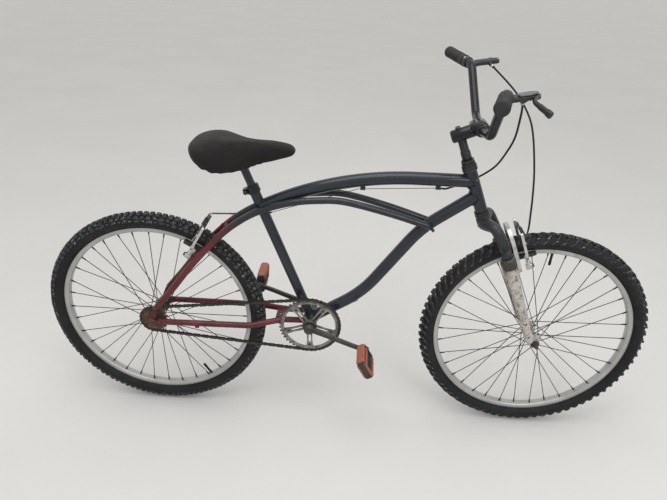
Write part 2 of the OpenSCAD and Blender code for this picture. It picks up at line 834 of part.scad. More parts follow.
module crank_arm(side) {
    difference() {
        union() {
            cross_bar(side > 0 ? arm_root_y - 9 : -arm_root_y - 8, side > 0 ? arm_root_y + 8 : -arm_root_y + 9, 17);
            hull() {
                cross_bar(side * arm_root_y - arm_t / 2, side * arm_root_y + arm_t / 2, 13, $fn = 32);
                cross_bar(side * arm_tip_y - arm_t / 2, side * arm_tip_y + arm_t / 2, 11, crank_l, $fn = 32);
            }
            rod([crank_l, side * arm_tip_y, 0], [crank_l, side * (arm_tip_y + pedal_l + 4), 0], pedal_axle_d / 2);
        }
        cross_bar(-crank_boss_y - seat_gap, crank_boss_y + seat_gap, crank_axle_d / 2 + 0.1);
    }
}

module crank_right() {
    color("#2c2b2b") at_crank() crank_arm(-1);
}

module crank_left() {
    color("#2c2b2b") at_crank() rotate([0, 180, 0]) crank_arm(1);
}

// Pedal: a barrel on the axle, two end plates and two treads, hanging on edge
module pedal(side) {
    near = arm_tip_y + arm_t / 2 + 2;
    far = near + pedal_l;
    wall = 6;
    translate([0, side < 0 ? -near - far : 0, 0]) difference() {
        union() {
            cross_bar(near, far, 9);
            for (y = [near, far - wall]) translate([-pedal_h / 2, y, -pedal_w / 2]) cube([pedal_h, wall, pedal_w]);
            for (z = [-pedal_w / 2, pedal_w / 2 - wall])
                translate([-pedal_h / 2, near, z]) cube([pedal_h, pedal_l, wall]);
            translate([-3, near, -pedal_w / 2]) cube([6, pedal_l, pedal_w]);
        }
        cross_bar(near - 1, far + 1, pedal_axle_d / 2 + run_gap);
    }
}

// Moves a pedal to the end of its crank, kept upright
module at_pedal(side) {
    along = -side * crank_l;
    from_rear_axle() translate(bb + along * [cos(crank_angle), 0, -sin(crank_angle)]) children();
}

module pedal_right() {
    color("#7a3a1e") at_pedal(-1) pedal(-1);
}

module pedal_left() {
    color("#7a3a1e") at_pedal(1) pedal(1);
}

// Steerer tube of the fork, turning in the headset
module steerer() {
    color("#6a6a68") from_steering() difference() {
        translate([0, 0, fork_l - cup_h - race_h - 24]) cylinder(h = head_tube_l + cup_h + race_h + 54, r = steerer_d / 2);
        translate([0, 0, stem_z - 100]) cylinder(h = 120, r = quill_d / 2 + 0.15);
    }
}

crown_h = 26;
crown_z = fork_l - cup_h - race_h - crown_h;

// Fork crown: a boss round the steerer and two arms out to the legs
module fork_crown() {
    color("#222629") from_steering() difference() {
        union() {
            translate([0, 0, crown_z]) linear_extrude(crown_h) {
                circle(r = 22);
                for (side = [-1, 1]) {
                    translate([leg_offset, side * leg_y]) circle(r = upper_leg_d / 2 + 5);
                    polygon([
                        [-14, side * 16], [leg_offset - 13, side * (leg_y + 12)],
                        [leg_offset + 15, side * (leg_y - 10)], [20, side * 8]
                    ]);
                }
                translate([0, -16]) square([20, 32]);
            }
            translate([0, 0, crown_z + crown_h]) cylinder(h = race_h - 1, r = cup_d / 2 - 2);
        }
        translate([0, 0, crown_z - 1]) cylinder(h = crown_h + race_h + 2, r = steerer_d / 2 + 0.1);
        for (side = [-1, 1])
            translate([leg_offset, side * leg_y, crown_z - 1])
                cylinder(h = crown_h - 3, r = upper_leg_d / 2 + 0.1);
    }
}

// Fork leg: upper tube, collar, lower leg that tapers, brake boss and dropout
collar_z = 268;
lower_leg_z = 22;
fork_end_t = 6;

module fork_leg(side) {
    inner = side > 0 ? front_hub_w / 2 : -front_hub_w / 2 - fork_end_t;
    difference() {
        union() {
            translate([leg_offset, side * leg_y, collar_z]) cylinder(h = crown_z + crown_h - 5 - collar_z, r = upper_leg_d / 2);
            translate([leg_offset, side * leg_y, collar_z - 12]) cylinder(h = 22, r = lower_leg_d / 2 + 2.5);
            translate([leg_offset, side * leg_y, lower_leg_z])
                cylinder(h = collar_z - lower_leg_z, r1 = lower_leg_d / 2 - 4, r2 = lower_leg_d / 2, $fn = 48);
            side_plate(inner, inner + fork_end_t) polygon([
                [fork_offset - 11, -10], [fork_offset + 11, -10], [fork_offset + 12, 6],
                [leg_offset + 11, 34], [leg_offset - 9, 36], [leg_offset - 8, 12]
            ]);
            translate([leg_offset, side * (leg_y - 6), lower_leg_z + 6]) sphere(r = lower_leg_d / 2 - 5);
            boss_y = side * brake_pivot_y;
            rod([leg_offset + 4, side * (leg_y - 6), front_pivot_z], [leg_offset + 26, boss_y, front_pivot_z], 9);
        }
        cross_bar(-80, 80, axle_d / 2 + run_gap, fork_offset, 0);
        translate([fork_offset - axle_d / 2 - run_gap, -80, -20]) cube([axle_d + 2 * run_gap, 160, 20]);
        translate([fork_offset, 0, 0]) rotate([90, 0, 0]) cylinder(h = front_hub_w, r = 27, center = true);
        rod([leg_offset + 10, side * brake_pivot_y, front_pivot_z], [leg_offset + 70, side * brake_pivot_y, front_pivot_z], 3.2);
    }
}

module fork_leg_right() {
    color("#b8b5ae") from_steering() fork_leg(-1);
}

module fork_leg_left() {
    color("#b8b5ae") from_steering() fork_leg(1);
}

// Arch over the tyre that joins the lower legs
arch_x = leg_offset + lower_leg_d / 2 + 8;
arch_top_z = 372;

module fork_arch() {
    half = leg_y - 4;
    color("#c4c5c4") from_steering() difference() {
        translate([arch_x - 5, 0, 0]) rotate([0, 90, 0]) rotate([0, 0, 90]) linear_extrude(10) difference() {
            union() {
                translate([0, arch_top_z - half]) circle(r = half);
                translate([-half, collar_z - 8]) square([2 * half, arch_top_z - half - collar_z + 8]);
            }
            translate([0, arch_top_z - half]) circle(r = half - 14);
            translate([-half + 14, collar_z - 20]) square([2 * half - 28, arch_top_z - half - collar_z + 20]);
        }
        for (side = [-1, 1])
            translate([leg_offset, side * leg_y, 0]) cylinder(h = 600, r = lower_leg_d / 2 + 2.8);
    }
}

module front_axle() {
    color("#8a8378") at_front_axle() rotate([0, head_angle - 90, 0]) axle_with_nuts(front_hub_w, fork_end_t);
}

// Stem: quill in the steerer, a body round it and the clamp for the bar
quill_d = 22.2;
stem_body_r = 15;
bar_clamp_w = 54;

module stem() {
    color("#27343c") from_steering() difference() {
        union() {
            translate([0, 0, stem_z - 90]) cylinder(h = 80, r = quill_d / 2 - 0.15);
            translate([0, 0, stem_z - 22]) cylinder(h = 44, r = stem_body_r);
            translate([0, 0, stem_z + 22]) cylinder(h = 6, r = 6, $fn = 6);
            translate([0, -11, stem_z - 14]) cube([stem_reach, 22, 28]);
            cross_bar(-bar_clamp_w / 2, bar_clamp_w / 2, bar_d / 2 + 5, stem_reach, stem_z);
        }
        cross_bar(-bar_clamp_w, bar_clamp_w, bar_d / 2 + 0.1, stem_reach, stem_z);
    }
}

// Middle line of one side of the bar, from its middle out to its end
bar_grip_run = 153;
bar_top_y = bar_half_w - bar_grip_run;
bar_bend_y = bar_top_y - 95;
bar_top_x = stem_reach + 35;
bar_top_z = stem_z + bar_rise - 5;
bar_end_x = stem_reach - 1;
bar_end_z = stem_z + bar_rise + 18;

function bar_half(side) = rounded([
    [stem_reach, 0, stem_z], [stem_reach, side * 40, stem_z], [stem_reach + 4, side * bar_bend_y, stem_z + 4],
    [bar_top_x, side * bar_top_y, bar_top_z], [bar_end_x, side * bar_half_w, bar_end_z]
], 42, 6);

module handlebar() {
    right = bar_half(-1);
    left = bar_half(1);
    route = [for (i = [len(right) - 1 : -1 : 1]) right[i], for (i = [1 : len(left) - 1]) left[i]];
    color("#27343c") from_steering() swept(route, bar_d / 2, 16, [1, 0, 0]);
}

function bar_point(side, back) =
    let (end = [bar_end_x, side * bar_half_w, bar_end_z], top = [bar_top_x, side * bar_top_y, bar_top_z])
    end + back * unit(top - end);

module grips() {
    color("#1b1b1b") from_steering() for (side = [-1, 1]) difference() {
        rod(bar_point(side, -3), bar_point(side, grip_l), grip_d / 2);
        rod(bar_point(side, -0.3), bar_point(side, grip_l + 1), bar_d / 2 + 0.1);
    }
}

// Brake lever: clamp band, body in front of the bar and blade outwards from it
module lever(side) {
    band = bar_point(side, grip_l + 10);
    pivot = band + [56, side * 4, -10];
    mouth = band + [40, -side * 16, -28];
    difference() {
        union() {
            rod(bar_point(side, grip_l + 4), bar_point(side, grip_l + 16), bar_d / 2 + 4);
            hull() {
                translate(band + [14, 0, -2]) sphere(r = 6, $fn = 16);
                translate(pivot) sphere(r = 8, $fn = 16);
                translate(mouth + [0, side * 5, 3]) sphere(r = 5, $fn = 16);
            }
            rod(mouth + [0, side * 5, 3], mouth, 4);
            hull() {
                translate(pivot + [0, side * 6, -4]) sphere(r = 6, $fn = 16);
                translate(pivot + [4, side * lever_l * 0.5, -10]) sphere(r = 5, $fn = 16);
            }
            hull() {
                translate(pivot + [4, side * lever_l * 0.5, -10]) sphere(r = 5, $fn = 16);
                translate(pivot + [2, side * lever_l, -16]) sphere(r = 6, $fn = 16);
            }
        }
        rod(bar_point(side, 0), bar_point(side, grip_l + 30), bar_d / 2 + 0.1);
    }
}

module lever_right() {
    color("#1f1f20") from_steering() lever(-1);
}

module lever_left() {
    color("#1f1f20") from_steering() lever(1);
}

// Rim brake arm in its own frame: pivot at the origin, +Z towards the cable,
// +X away from the leg or stay that carries it, the wheel at negative Y
pad_r = 275;
arm_bend_y = 6;

module brake_arm() {
    pad_z = pad_r - brake_pivot_r;
    reach_y = brake_pivot_y - rim_w / 2 - 1.5;
    difference() {
        union() {
            rod([0, 0, 0], [16, 0, 0], 8);
            hull() {
                translate([4, -1, 0]) rotate([0, 90, 0]) cylinder(h = 8, r = 7, $fn = 24);
                translate([5, arm_bend_y, 38]) rotate([0, 90, 0]) cylinder(h = 7, r = 6, $fn = 24);
            }
            hull() {
                translate([5, arm_bend_y, 38]) rotate([0, 90, 0]) cylinder(h = 7, r = 6, $fn = 24);
                translate([5, arm_bend_y, brake_arm_l]) rotate([0, 90, 0]) cylinder(h = 7, r = 5, $fn = 24);
            }
            cross_bar(-reach_y + 8, 14, 3, 8, pad_z);
            translate([-26, -reach_y, pad_z - 5]) cube([62, 9, 10]);
        }
        rod([-1, 0, 0], [10, 0, 0], 3.2);
    }
}

// Arm on one side of a wheel: the brake frame has its origin on the wheel's middle plane
module arm_pair_side(side) {
    if (side > 0) {
        translate([0, brake_pivot_y, 0]) brake_arm();
    } else {
        mirror([0, 1, 0]) translate([0, brake_pivot_y, 0]) brake_arm();
    }
}

module at_front_brake() {
    from_steering() translate([front_brake_x, 0, front_pivot_z]) children();
}

module front_brake_right() {
    color("#b0b2b3") at_front_brake() arm_pair_side(-1);
}

module front_brake_left() {
    color("#b0b2b3") at_front_brake() arm_pair_side(1);
}

// The rear arms stand behind the twin tubes, in line with the wheel's radius

module at_rear_brake() {
    from_rear_axle() translate(rear_pivot) rotate([0, 90 - rear_brake_a, 0]) mirror([1, 0, 0]) children();
}

module rear_brake_right() {
    color("#b0b2b3") at_rear_brake() arm_pair_side(-1);
}

module rear_brake_left() {
    color("#b0b2b3") at_rear_brake() arm_pair_side(1);
}

// Bent guide tube from one arm's top across to the other; side says which arm holds it,
// and exit is the place of its outer end, where the cable's housing starts
noodle_z = brake_arm_l - 8;
noodle_d = 4.8;

noodle_bend = 12;
noodle_x = 12 + noodle_d / 2 + seat_gap;

function noodle_start(side) = [noodle_x, -side * (brake_pivot_y + arm_bend_y), noodle_z];
function noodle_corner(exit) = [noodle_x, exit[1], noodle_z];

module noodle(side, exit) {
    swept(rounded([noodle_start(side), noodle_corner(exit), exit], noodle_bend, 5), noodle_d / 2, 8, [1, 0, 0.3]);
}

// Last two points of a housing that meets a guide tube's end squarely
function housing_end(exit) =
    let (d = unit(exit - noodle_corner(exit))) [exit + 12 * d, exit + 0.5 * d];

front_noodle_end = [24, -58, 116];
rear_noodle_end = [-35, 65, 126];

module front_noodle() {
    color("#c4c5c4") at_front_brake() noodle(-1, front_noodle_end);
}

module rear_noodle() {
    color("#c4c5c4") at_rear_brake() noodle(1, rear_noodle_end);
}

// Front cable, from the left lever to the guide tube, along the steering axis's frame
front_cable_points = [
    [140, 200, 738], [168, 120, 678], [177, 60, 627], [171, 20, 584],
    [151, -12, 507], [131, -30, 447], [108, -50, 392]
];

module front_brake_cable() {
    ends = [for (p = housing_end(front_noodle_end)) [front_brake_x, 0, front_pivot_z] + p];
    color("#161616") from_steering() swept(smooth(concat(front_cable_points, ends), 5), housing_d / 2, 8, [1, 0, 0.2]);
}

// Rear cable from the right lever past the head tube to the first stop; it bends as the bar turns
steering_cable_points = [
    [126, -196, 738], [124, -165, 707], [108, -115, 643], [89, -85, 604],
    [52, -47, 554], [19, -30, 533], [-12, -25, 525], [-45, -20, 522]
];

// A point measured from the rear axle, as seen along the steering axis
function along_steering(p) = let (d = p - steer_foot) [
    d[0] * sin(head_angle) + d[2] * cos(head_angle), d[1],
    d[2] * sin(head_angle) - d[0] * cos(head_angle)
];

module steering_cable() {
    ends = [for (d = [20, 13, stop_half + 0.9]) along_steering(stop_at(stop_front_x) + [d, 0, 0])];
    color("#161616") from_steering() swept(smooth(concat(steering_cable_points, ends), 5), housing_d / 2, 8, [1, 0, 0.2]);
}

// Rear cable on the frame: bare wire between the stops, then a housing round the seat tube
rear_housing_points = [
    [352, 9, 344], [336, 21, 337], [322, 21, 334], [306, 22, 333], [288, 31, 330], [262, 51, 320]
];

module rear_brake_cable() {
    c = cos(rear_brake_a);
    s = sin(rear_brake_a);
    ends = [for (p = housing_end(rear_noodle_end)) rear_pivot + [p[2] * c - p[0] * s, p[1], p[2] * s + p[0] * c]];
    color("#161616") from_rear_axle() {
        swept(smooth(concat(rear_housing_points, ends), 4), housing_d / 2, 8, [0, 0, 1]);
        rod(stop_at(stop_back_x) + [stop_half + 1, 0, 0], stop_at(stop_front_x) - [stop_half + 1, 0, 0], wire_d / 2);
        rod(rear_housing_points[0], stop_at(stop_back_x) - [stop_half + 1, 0, 0], wire_d / 2);
    }
}

head_tube();
headset();
top_tube();
down_tube();
seat_tube();
seat_clamp();
twin_tube_right();
twin_tube_left();
chain_stay_right();
chain_stay_left();
bottom_bracket();
bearing_cups();
stand_plate();
brake_bridge();
rear_axle();
seatpost();
saddle_rails();
saddle();
chain();
rear_brake_right();
rear_brake_left();
rear_noodle();
rear_brake_cable();
steerer();
fork_crown();
fork_leg_right();
fork_leg_left();
fork_arch();
front_axle();
stem();
handlebar();
grips();
lever_right();
lever_left();
front_brake_right();
front_brake_left();
front_noodle();
front_brake_cable();
steering_cable();
front_tyre();
front_rim();
front_spokes();
front_hub();
rear_tyre();
rear_rim();
rear_spokes();
rear_hub();
sprocket();
chainring();
crank_axle();
crank_right();
crank_left();
pedal_right();
pedal_left();
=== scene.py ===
# Looks of the bicycle: materials, tread, chain links, saddle, cables and small fittings.
# Lengths inside the pieces are millimetres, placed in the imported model's frame.
import bpy
import json
import math
import random
from mathutils import Matrix, Vector


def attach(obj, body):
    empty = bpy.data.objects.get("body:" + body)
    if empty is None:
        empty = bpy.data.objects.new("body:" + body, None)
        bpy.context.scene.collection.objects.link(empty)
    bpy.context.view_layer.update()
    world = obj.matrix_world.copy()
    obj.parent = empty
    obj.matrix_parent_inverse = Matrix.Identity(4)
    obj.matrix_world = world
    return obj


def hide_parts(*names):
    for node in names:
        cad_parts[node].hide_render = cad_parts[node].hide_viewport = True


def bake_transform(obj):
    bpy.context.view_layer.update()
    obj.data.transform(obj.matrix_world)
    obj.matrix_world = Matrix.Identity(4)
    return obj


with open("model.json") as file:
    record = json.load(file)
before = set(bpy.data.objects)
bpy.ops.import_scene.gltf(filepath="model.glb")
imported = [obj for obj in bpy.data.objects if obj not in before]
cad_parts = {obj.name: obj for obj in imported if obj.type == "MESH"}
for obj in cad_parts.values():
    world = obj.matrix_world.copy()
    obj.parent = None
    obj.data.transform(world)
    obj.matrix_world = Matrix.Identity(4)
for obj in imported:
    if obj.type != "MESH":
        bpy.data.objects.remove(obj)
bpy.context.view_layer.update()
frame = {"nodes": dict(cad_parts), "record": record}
nodes = frame["nodes"]
rng = random.Random(7)

# Camera, fitted to the outlines of both wheels in the photograph
CAMERA_AT = (0.362, -1.3893, 0.4322)
CAMERA_AXES = ((0.99764, 0.06277, 0.02778), (-0.05403, 0.46849, 0.88182), (0.04234, -0.88124, 0.47078))
FOCAL_PX = 560.0
IMAGE_W = 667.0
SENSOR = 36.0
FLOOR_Z = -0.882

camera_data = bpy.data.cameras.new("camera")
camera_data.sensor_fit = "HORIZONTAL"
camera_data.sensor_width = SENSOR
camera_data.lens = FOCAL_PX / IMAGE_W * SENSOR
camera_data.clip_end = 60
camera = bpy.data.objects.new("camera", camera_data)
bpy.context.scene.collection.objects.link(camera)
axes = Matrix(CAMERA_AXES).transposed()
camera.matrix_world = Matrix.Translation(CAMERA_AT) @ axes.to_4x4()
bpy.context.scene.camera = camera
bpy.context.scene.view_settings.view_transform = "Standard"

# Frames of the bicycle's parts, the same values as in the part's source
MM = 0.001
STAY_L, BB_RISE, WHEELBASE = 466.0, 10.0, 1120.0
HEAD_ANGLE, FORK_OFFSET, FORK_L, HEAD_TUBE_L = 68.0, 43.0, 433.0, 120.0
STEM_Z, STEM_REACH = FORK_L + HEAD_TUBE_L + 99, 52.0
SEAT_ANGLE, SEAT_TUBE_L, SEAT_TUBE_R = 68.5, 448.0, 14.3
TOP_TUBE_R, TOP_TUBE_Z, DOWN_TUBE_R, HEAD_TUBE_R, SHELL_R = 17.5, 467.0, 17.0, 16.5, 20.0
LEG_X, LEG_Y = 30.0, 60.0
CRANK_ANGLE, CRANK_L = 17.0, 175.0
PIVOT_R, PIVOT_Y, REAR_BRAKE_A = 252.0, 40.0, 59.5
FRONT_BRAKE_X = 72.0
FRONT_PIVOT_Z = math.sqrt(PIVOT_R ** 2 - (FRONT_BRAKE_X - FORK_OFFSET) ** 2)


def turn_y(degrees):
    return Matrix.Rotation(math.radians(degrees), 4, "Y")


def shift(x, y, z):
    return Matrix.Translation((x, y, z))


head_cos, head_sin = math.cos(math.radians(HEAD_ANGLE)), math.sin(math.radians(HEAD_ANGLE))
REAR = Matrix.Scale(MM, 4) @ shift(-232, 0, -552)
FRONT_WHEEL = REAR @ shift(WHEELBASE, 0, 0)
STEER = REAR @ shift(WHEELBASE - FORK_OFFSET * head_sin, 0, -FORK_OFFSET * head_cos) @ turn_y(HEAD_ANGLE - 90)
CRANK = REAR @ shift(STAY_L, 0, BB_RISE) @ turn_y(CRANK_ANGLE)
FRONT_BRAKE = STEER @ shift(FRONT_BRAKE_X, 0, FRONT_PIVOT_Z)
rear_a = math.radians(REAR_BRAKE_A)
REAR_PIVOT = Vector((PIVOT_R * math.cos(rear_a), 0, PIVOT_R * math.sin(rear_a)))
REAR_BRAKE = REAR @ Matrix.Translation(REAR_PIVOT) @ turn_y(90 - REAR_BRAKE_A) @ Matrix.Diagonal((-1, 1, 1, 1))
MIRROR_Y = Matrix.Diagonal((1, -1, 1, 1))
SEAT = REAR @ shift(STAY_L, 0, BB_RISE) @ turn_y(SEAT_ANGLE - 90)
SIDEWAYS = Matrix(((1, 0, 0, 0), (0, 0, 1, 0), (0, 1, 0, 0), (0, 0, 0, 1)))
BB = Vector((STAY_L, 0, BB_RISE))
HEAD_FOOT = Vector((WHEELBASE - FORK_OFFSET * head_sin, 0, -FORK_OFFSET * head_cos))
HEAD_DIR = Vector((-head_cos, 0, head_sin))
SEAT_DIR = Vector((-math.cos(math.radians(SEAT_ANGLE)), 0, math.sin(math.radians(SEAT_ANGLE))))


# Node-built materials

class Nodes:
    """Short names for the shader nodes of one material."""

    def __init__(self, name):
        self.material = bpy.data.materials.new(name)
        self.material.use_nodes = True
        self.tree = self.material.node_tree
        self.shader = self.tree.nodes["Principled BSDF"]
        self.place = self.new("ShaderNodeTexCoord").outputs["Object"]

    def new(self, kind, **settings):
        made = self.tree.nodes.new(kind)
        for key, value in settings.items():
            setattr(made, key, value)
        return made

    def link(self, a, b):
        self.tree.links.new(a, b)

    def stretched(self, scale):
        mapping = self.new("ShaderNodeMapping")
        self.link(self.place, mapping.inputs["Vector"])
        mapping.inputs["Scale"].default_value = scale
        return mapping.outputs["Vector"]

    def noise(self, scale, detail=4.0, rough=0.6, vector=None):
        made = self.new("ShaderNodeTexNoise")
        self.link(vector or self.place, made.inputs["Vector"])
        made.inputs["Scale"].default_value = scale
        made.inputs["Detail"].default_value = detail
        made.inputs["Roughness"].default_value = rough
        return made.outputs["Fac"]

    def cells(self, scale, vector=None):
        made = self.new("ShaderNodeTexVoronoi")
        self.link(vector or self.place, made.inputs["Vector"])
        made.inputs["Scale"].default_value = scale
        return made.outputs["Distance"]

    def span(self, value, low, high, to_low=0.0, to_high=1.0):
        made = self.new("ShaderNodeMapRange")
        made.clamp = True
        self.link(value, made.inputs["Value"])
        for key, number in (("From Min", low), ("From Max", high), ("To Min", to_low), ("To Max", to_high)):
            made.inputs[key].default_value = number
        return made.outputs["Result"]

    def times(self, a, b):
        made = self.new("ShaderNodeMath", operation="MULTIPLY")
        self.link(a, made.inputs[0])
        if isinstance(b, float):
            made.inputs[1].default_value = b
        else:
            self.link(b, made.inputs[1])
        return made.outputs[0]

    def plus(self, a, b):
        made = self.new("ShaderNodeMath", operation="ADD")
        self.link(a, made.inputs[0])
        self.link(b, made.inputs[1])
        return made.outputs[0]

    def blend(self, factor, a, b):
        made = self.new("ShaderNodeMix", data_type="RGBA")
        self.link(factor, made.inputs["Factor"])
        for key, value in ((6, a), (7, b)):
            if isinstance(value, tuple):
                made.inputs[key].default_value = (*value, 1)
            else:
                self.link(value, made.inputs[key])
        return made.outputs[2]

    def along(self, axis):
        made = self.new("ShaderNodeSeparateXYZ")
        self.link(self.place, made.inputs[0])
        return made.outputs[axis]

    def facing_up(self):
        geometry = self.new("ShaderNodeNewGeometry")
        made = self.new("ShaderNodeSeparateXYZ")
        self.link(geometry.outputs["Normal"], made.inputs[0])
        return made.outputs[2]

    def bump(self, height, strength, distance):
        made = self.new("ShaderNodeBump")
        made.inputs["Strength"].default_value = strength
        made.inputs["Distance"].default_value = distance
        self.link(height, made.inputs["Height"])
        self.link(made.outputs[0], self.shader.inputs["Normal"])


def surface(name, base, other, patch=14.0, rough=(0.35, 0.5), metal=0.0, coat=0.0, spots=None, fine=None,
            dust=None, fade=None, grain=(600.0, 0.15, 0.0004), sheen=0.0, specular=0.5):
    """A material of two mixed colours with rust or scuff spots (on the tread partly painted highlights), dust on top,
    and grain.

    spots and fine: (colour, scale, low, high); fade: (axis, from, to, colour, colour);
    dust: (colour, share).
    """
    n = Nodes(name)
    broad = n.noise(patch, 5)
    colour = n.blend(n.span(broad, 0.38, 0.62), base, other)
    if fade:
        axis, start, end, first, second = fade
        sway = 0.2 * (end - start)
        wander = n.plus(n.along(axis), n.span(n.noise(30.0, 4), 0.3, 0.7, -sway, sway))
        second_mix = n.blend(n.span(broad, 0.38, 0.62), second, tuple(c * 0.75 for c in second))
        first_mix = n.blend(n.span(broad, 0.38, 0.62), first, tuple(c * 0.62 for c in first))
        colour = n.blend(n.span(wander, start, end), first_mix, second_mix)
    roughness = n.span(n.noise(patch * 3, 4), 0.35, 0.65, *rough)
    metallic = None
    for marks in (spots, fine):
        if marks:
            mark_colour, scale, low, high = marks
            mask = n.span(n.noise(scale, 7, 0.72), low, high)
            colour = n.blend(mask, colour, mark_colour)
            if metal:
                cover = n.span(mask, 0, 1, 1, 0)
                metallic = n.times(metallic, cover) if metallic else n.times(cover, float(metal))
    if dust:
        dust_colour, share = dust
        top = n.times(n.span(n.facing_up(), 0.2, 1.0, 0, share), n.span(n.noise(90.0, 6, 0.7), 0.35, 0.6))
        colour = n.blend(top, colour, dust_colour)
    n.link(colour, n.shader.inputs["Base Color"])
    n.link(roughness, n.shader.inputs["Roughness"])
    if metallic:
        n.link(metallic, n.shader.inputs["Metallic"])
    else:
        n.shader.inputs["Metallic"].default_value = metal
    n.shader.inputs["Coat Weight"].default_value = coat
    n.shader.inputs["Coat Roughness"].default_value = 0.07
    n.shader.inputs["Specular IOR Level"].default_value = specular
    n.shader.inputs["Sheen Weight"].default_value = sheen
    n.shader.inputs["Sheen Roughness"].default_value = 0.5
    scale, strength, distance = grain
    n.bump(n.plus(n.noise(scale, 3), n.times(n.noise(patch * 4, 4), 0.6)), strength, distance)
    return n.material


SLATE, SLATE_BLUE = (0.017, 0.023, 0.030), (0.012, 0.016, 0.026)
RED, RED_DARK = (0.135, 0.017, 0.020), (0.064, 0.011, 0.013)
RUST, RUST_DARK = (0.20, 0.085, 0.036), (0.075, 0.035, 0.018)
GRIME = (0.035, 0.030, 0.024)

M = {
    "frame_paint": surface("slate_paint", SLATE, SLATE_BLUE, 9, (0.24, 0.38), coat=0.62,
                           spots=((0.13, 0.14, 0.14), 260, 0.68, 0.74), fine=(RUST, 170, 0.71, 0.76),
                           dust=((0.13, 0.135, 0.14), 0.08), grain=(420.0, 0.10, 0.0005), specular=0.12),
    "stay_paint": surface("red_paint", RED, RED_DARK, 22, (0.32, 0.5), coat=0.35, specular=0.18,
                          spots=((0.30, 0.13, 0.12), 120, 0.60, 0.70), fine=(RUST_DARK, 220, 0.64, 0.70),
                          dust=((0.28, 0.15, 0.14), 0.14), grain=(420.0, 0.15, 0.0006)),
    "black_metal": surface("worn_black_metal", (0.040, 0.037, 0.034), (0.075, 0.066, 0.058), 30, (0.38, 0.55), 0.35,
                           spots=((0.17, 0.15, 0.13), 150, 0.62, 0.72), fine=(RUST_DARK, 260, 0.62, 0.70),
                           dust=((0.20, 0.18, 0.16), 0.4)),
    "dark_steel": surface("dark_steel", (0.13, 0.125, 0.12), (0.07, 0.065, 0.06), 40, (0.3, 0.5), 0.75,
                          spots=(RUST_DARK, 140, 0.58, 0.70)),
    "rusty_steel": surface("rusty_steel", (0.13, 0.085, 0.058), (0.070, 0.045, 0.032), 60, (0.5, 0.75), 0.45,
                           spots=(RUST, 150, 0.50, 0.66), fine=(GRIME, 300, 0.55, 0.66),
                           dust=((0.24, 0.19, 0.15), 0.5)),
    "chain_steel": surface("oily_chain", (0.060, 0.054, 0.048), (0.030, 0.027, 0.025), 90, (0.34, 0.55), 0.6,
                           spots=(RUST_DARK, 160, 0.58, 0.72), fine=((0.20, 0.17, 0.14), 500, 0.60, 0.70)),
    "ring_steel": surface("grimy_ring", (0.34, 0.335, 0.32), (0.17, 0.165, 0.155), 60, (0.32, 0.5), 0.75,
                          spots=(GRIME, 90, 0.52, 0.66), fine=((0.10, 0.08, 0.06), 320, 0.56, 0.66)),
    "bright_metal": surface("bright_metal", (0.60, 0.60, 0.59), (0.45, 0.45, 0.44), 40, (0.2, 0.36), 0.9,
                            spots=((0.22, 0.20, 0.18), 90, 0.64, 0.80)),
    "rim_metal": surface("rim_alloy", (0.47, 0.465, 0.45), (0.39, 0.385, 0.37), 12, (0.3, 0.45), 0.65,
                         spots=((0.27, 0.255, 0.23), 60, 0.58, 0.74), fine=((0.17, 0.155, 0.14), 400, 0.68, 0.76)),
    "spoke_steel": surface("spoke_steel", (0.034, 0.033, 0.033), (0.018, 0.018, 0.018), 50, (0.3, 0.5), 0.5,
                           spots=(RUST_DARK, 120, 0.60, 0.72), specular=0.25),
    "fork_black": surface("fork_slate", (0.026, 0.030, 0.032), (0.017, 0.020, 0.023), 20, (0.36, 0.52), coat=0.08,
                          spots=((0.10, 0.10, 0.10), 240, 0.64, 0.72), dust=((0.16, 0.16, 0.155), 0.22),
                          specular=0.35),
    "fork_white": surface("chipped_white", (0.54, 0.515, 0.48), (0.42, 0.395, 0.36), 30, (0.42, 0.62),
                          spots=((0.17, 0.11, 0.075), 75, 0.545, 0.58), fine=((0.07, 0.042, 0.028), 170, 0.575, 0.61),
                          grain=(300.0, 0.3, 0.0008)),
    "tyre_rubber": surface("tyre_rubber", (0.012, 0.012, 0.013), (0.018, 0.018, 0.018), 18, (0.46, 0.66),
                           spots=((0.08, 0.078, 0.072), 160, 0.64, 0.78), grain=(900.0, 0.2, 0.0003), specular=0.2),
    "grip_rubber": surface("grip_rubber", (0.024, 0.024, 0.025), (0.034, 0.033, 0.032), 40, (0.6, 0.8),
                           dust=((0.12, 0.115, 0.11), 0.2), specular=0.28),
    "housing": surface("cable_housing", (0.008, 0.008, 0.0085), (0.013, 0.013, 0.013), 60, (0.3, 0.45), specular=0.2),
    "lever_plastic": surface("lever_plastic", (0.013, 0.013, 0.014), (0.020, 0.020, 0.020), 50, (0.3, 0.5),
                             dust=((0.12, 0.12, 0.12), 0.15)),
    "pedal_plastic": surface("pedal_orange", (0.42, 0.105, 0.048), (0.30, 0.070, 0.036), 45, (0.35, 0.55),
                             spots=((0.10, 0.04, 0.03), 120, 0.56, 0.68), dust=((0.40, 0.22, 0.17), 0.4)),
}
M["bar_paint"] = surface("black_bar_paint", (0.011, 0.013, 0.015), (0.007, 0.008, 0.010), 14, (0.26, 0.42), coat=0.5,
                         spots=((0.07, 0.07, 0.07), 200, 0.70, 0.76), dust=((0.10, 0.10, 0.10), 0.05),
                         specular=0.1)
M["pedal_black"] = surface("pedal_black", (0.022, 0.021, 0.020), (0.045, 0.040, 0.037), 60, (0.5, 0.7),
                           dust=((0.16, 0.14, 0.12), 0.4))
M["plate_grey"] = surface("lever_plate", (0.17, 0.175, 0.18), (0.11, 0.113, 0.116), 60, (0.3, 0.45), 0.5)
M["collar"] = surface("fork_collar", (0.048, 0.042, 0.038), (0.034, 0.031, 0.029), 50, (0.5, 0.7),
                      spots=(RUST_DARK, 110, 0.58, 0.70), dust=((0.20, 0.16, 0.13), 0.4))
M["brake_pad"] = surface("brake_pad", (0.022, 0.021, 0.021), (0.05, 0.045, 0.04), 80, (0.6, 0.8))
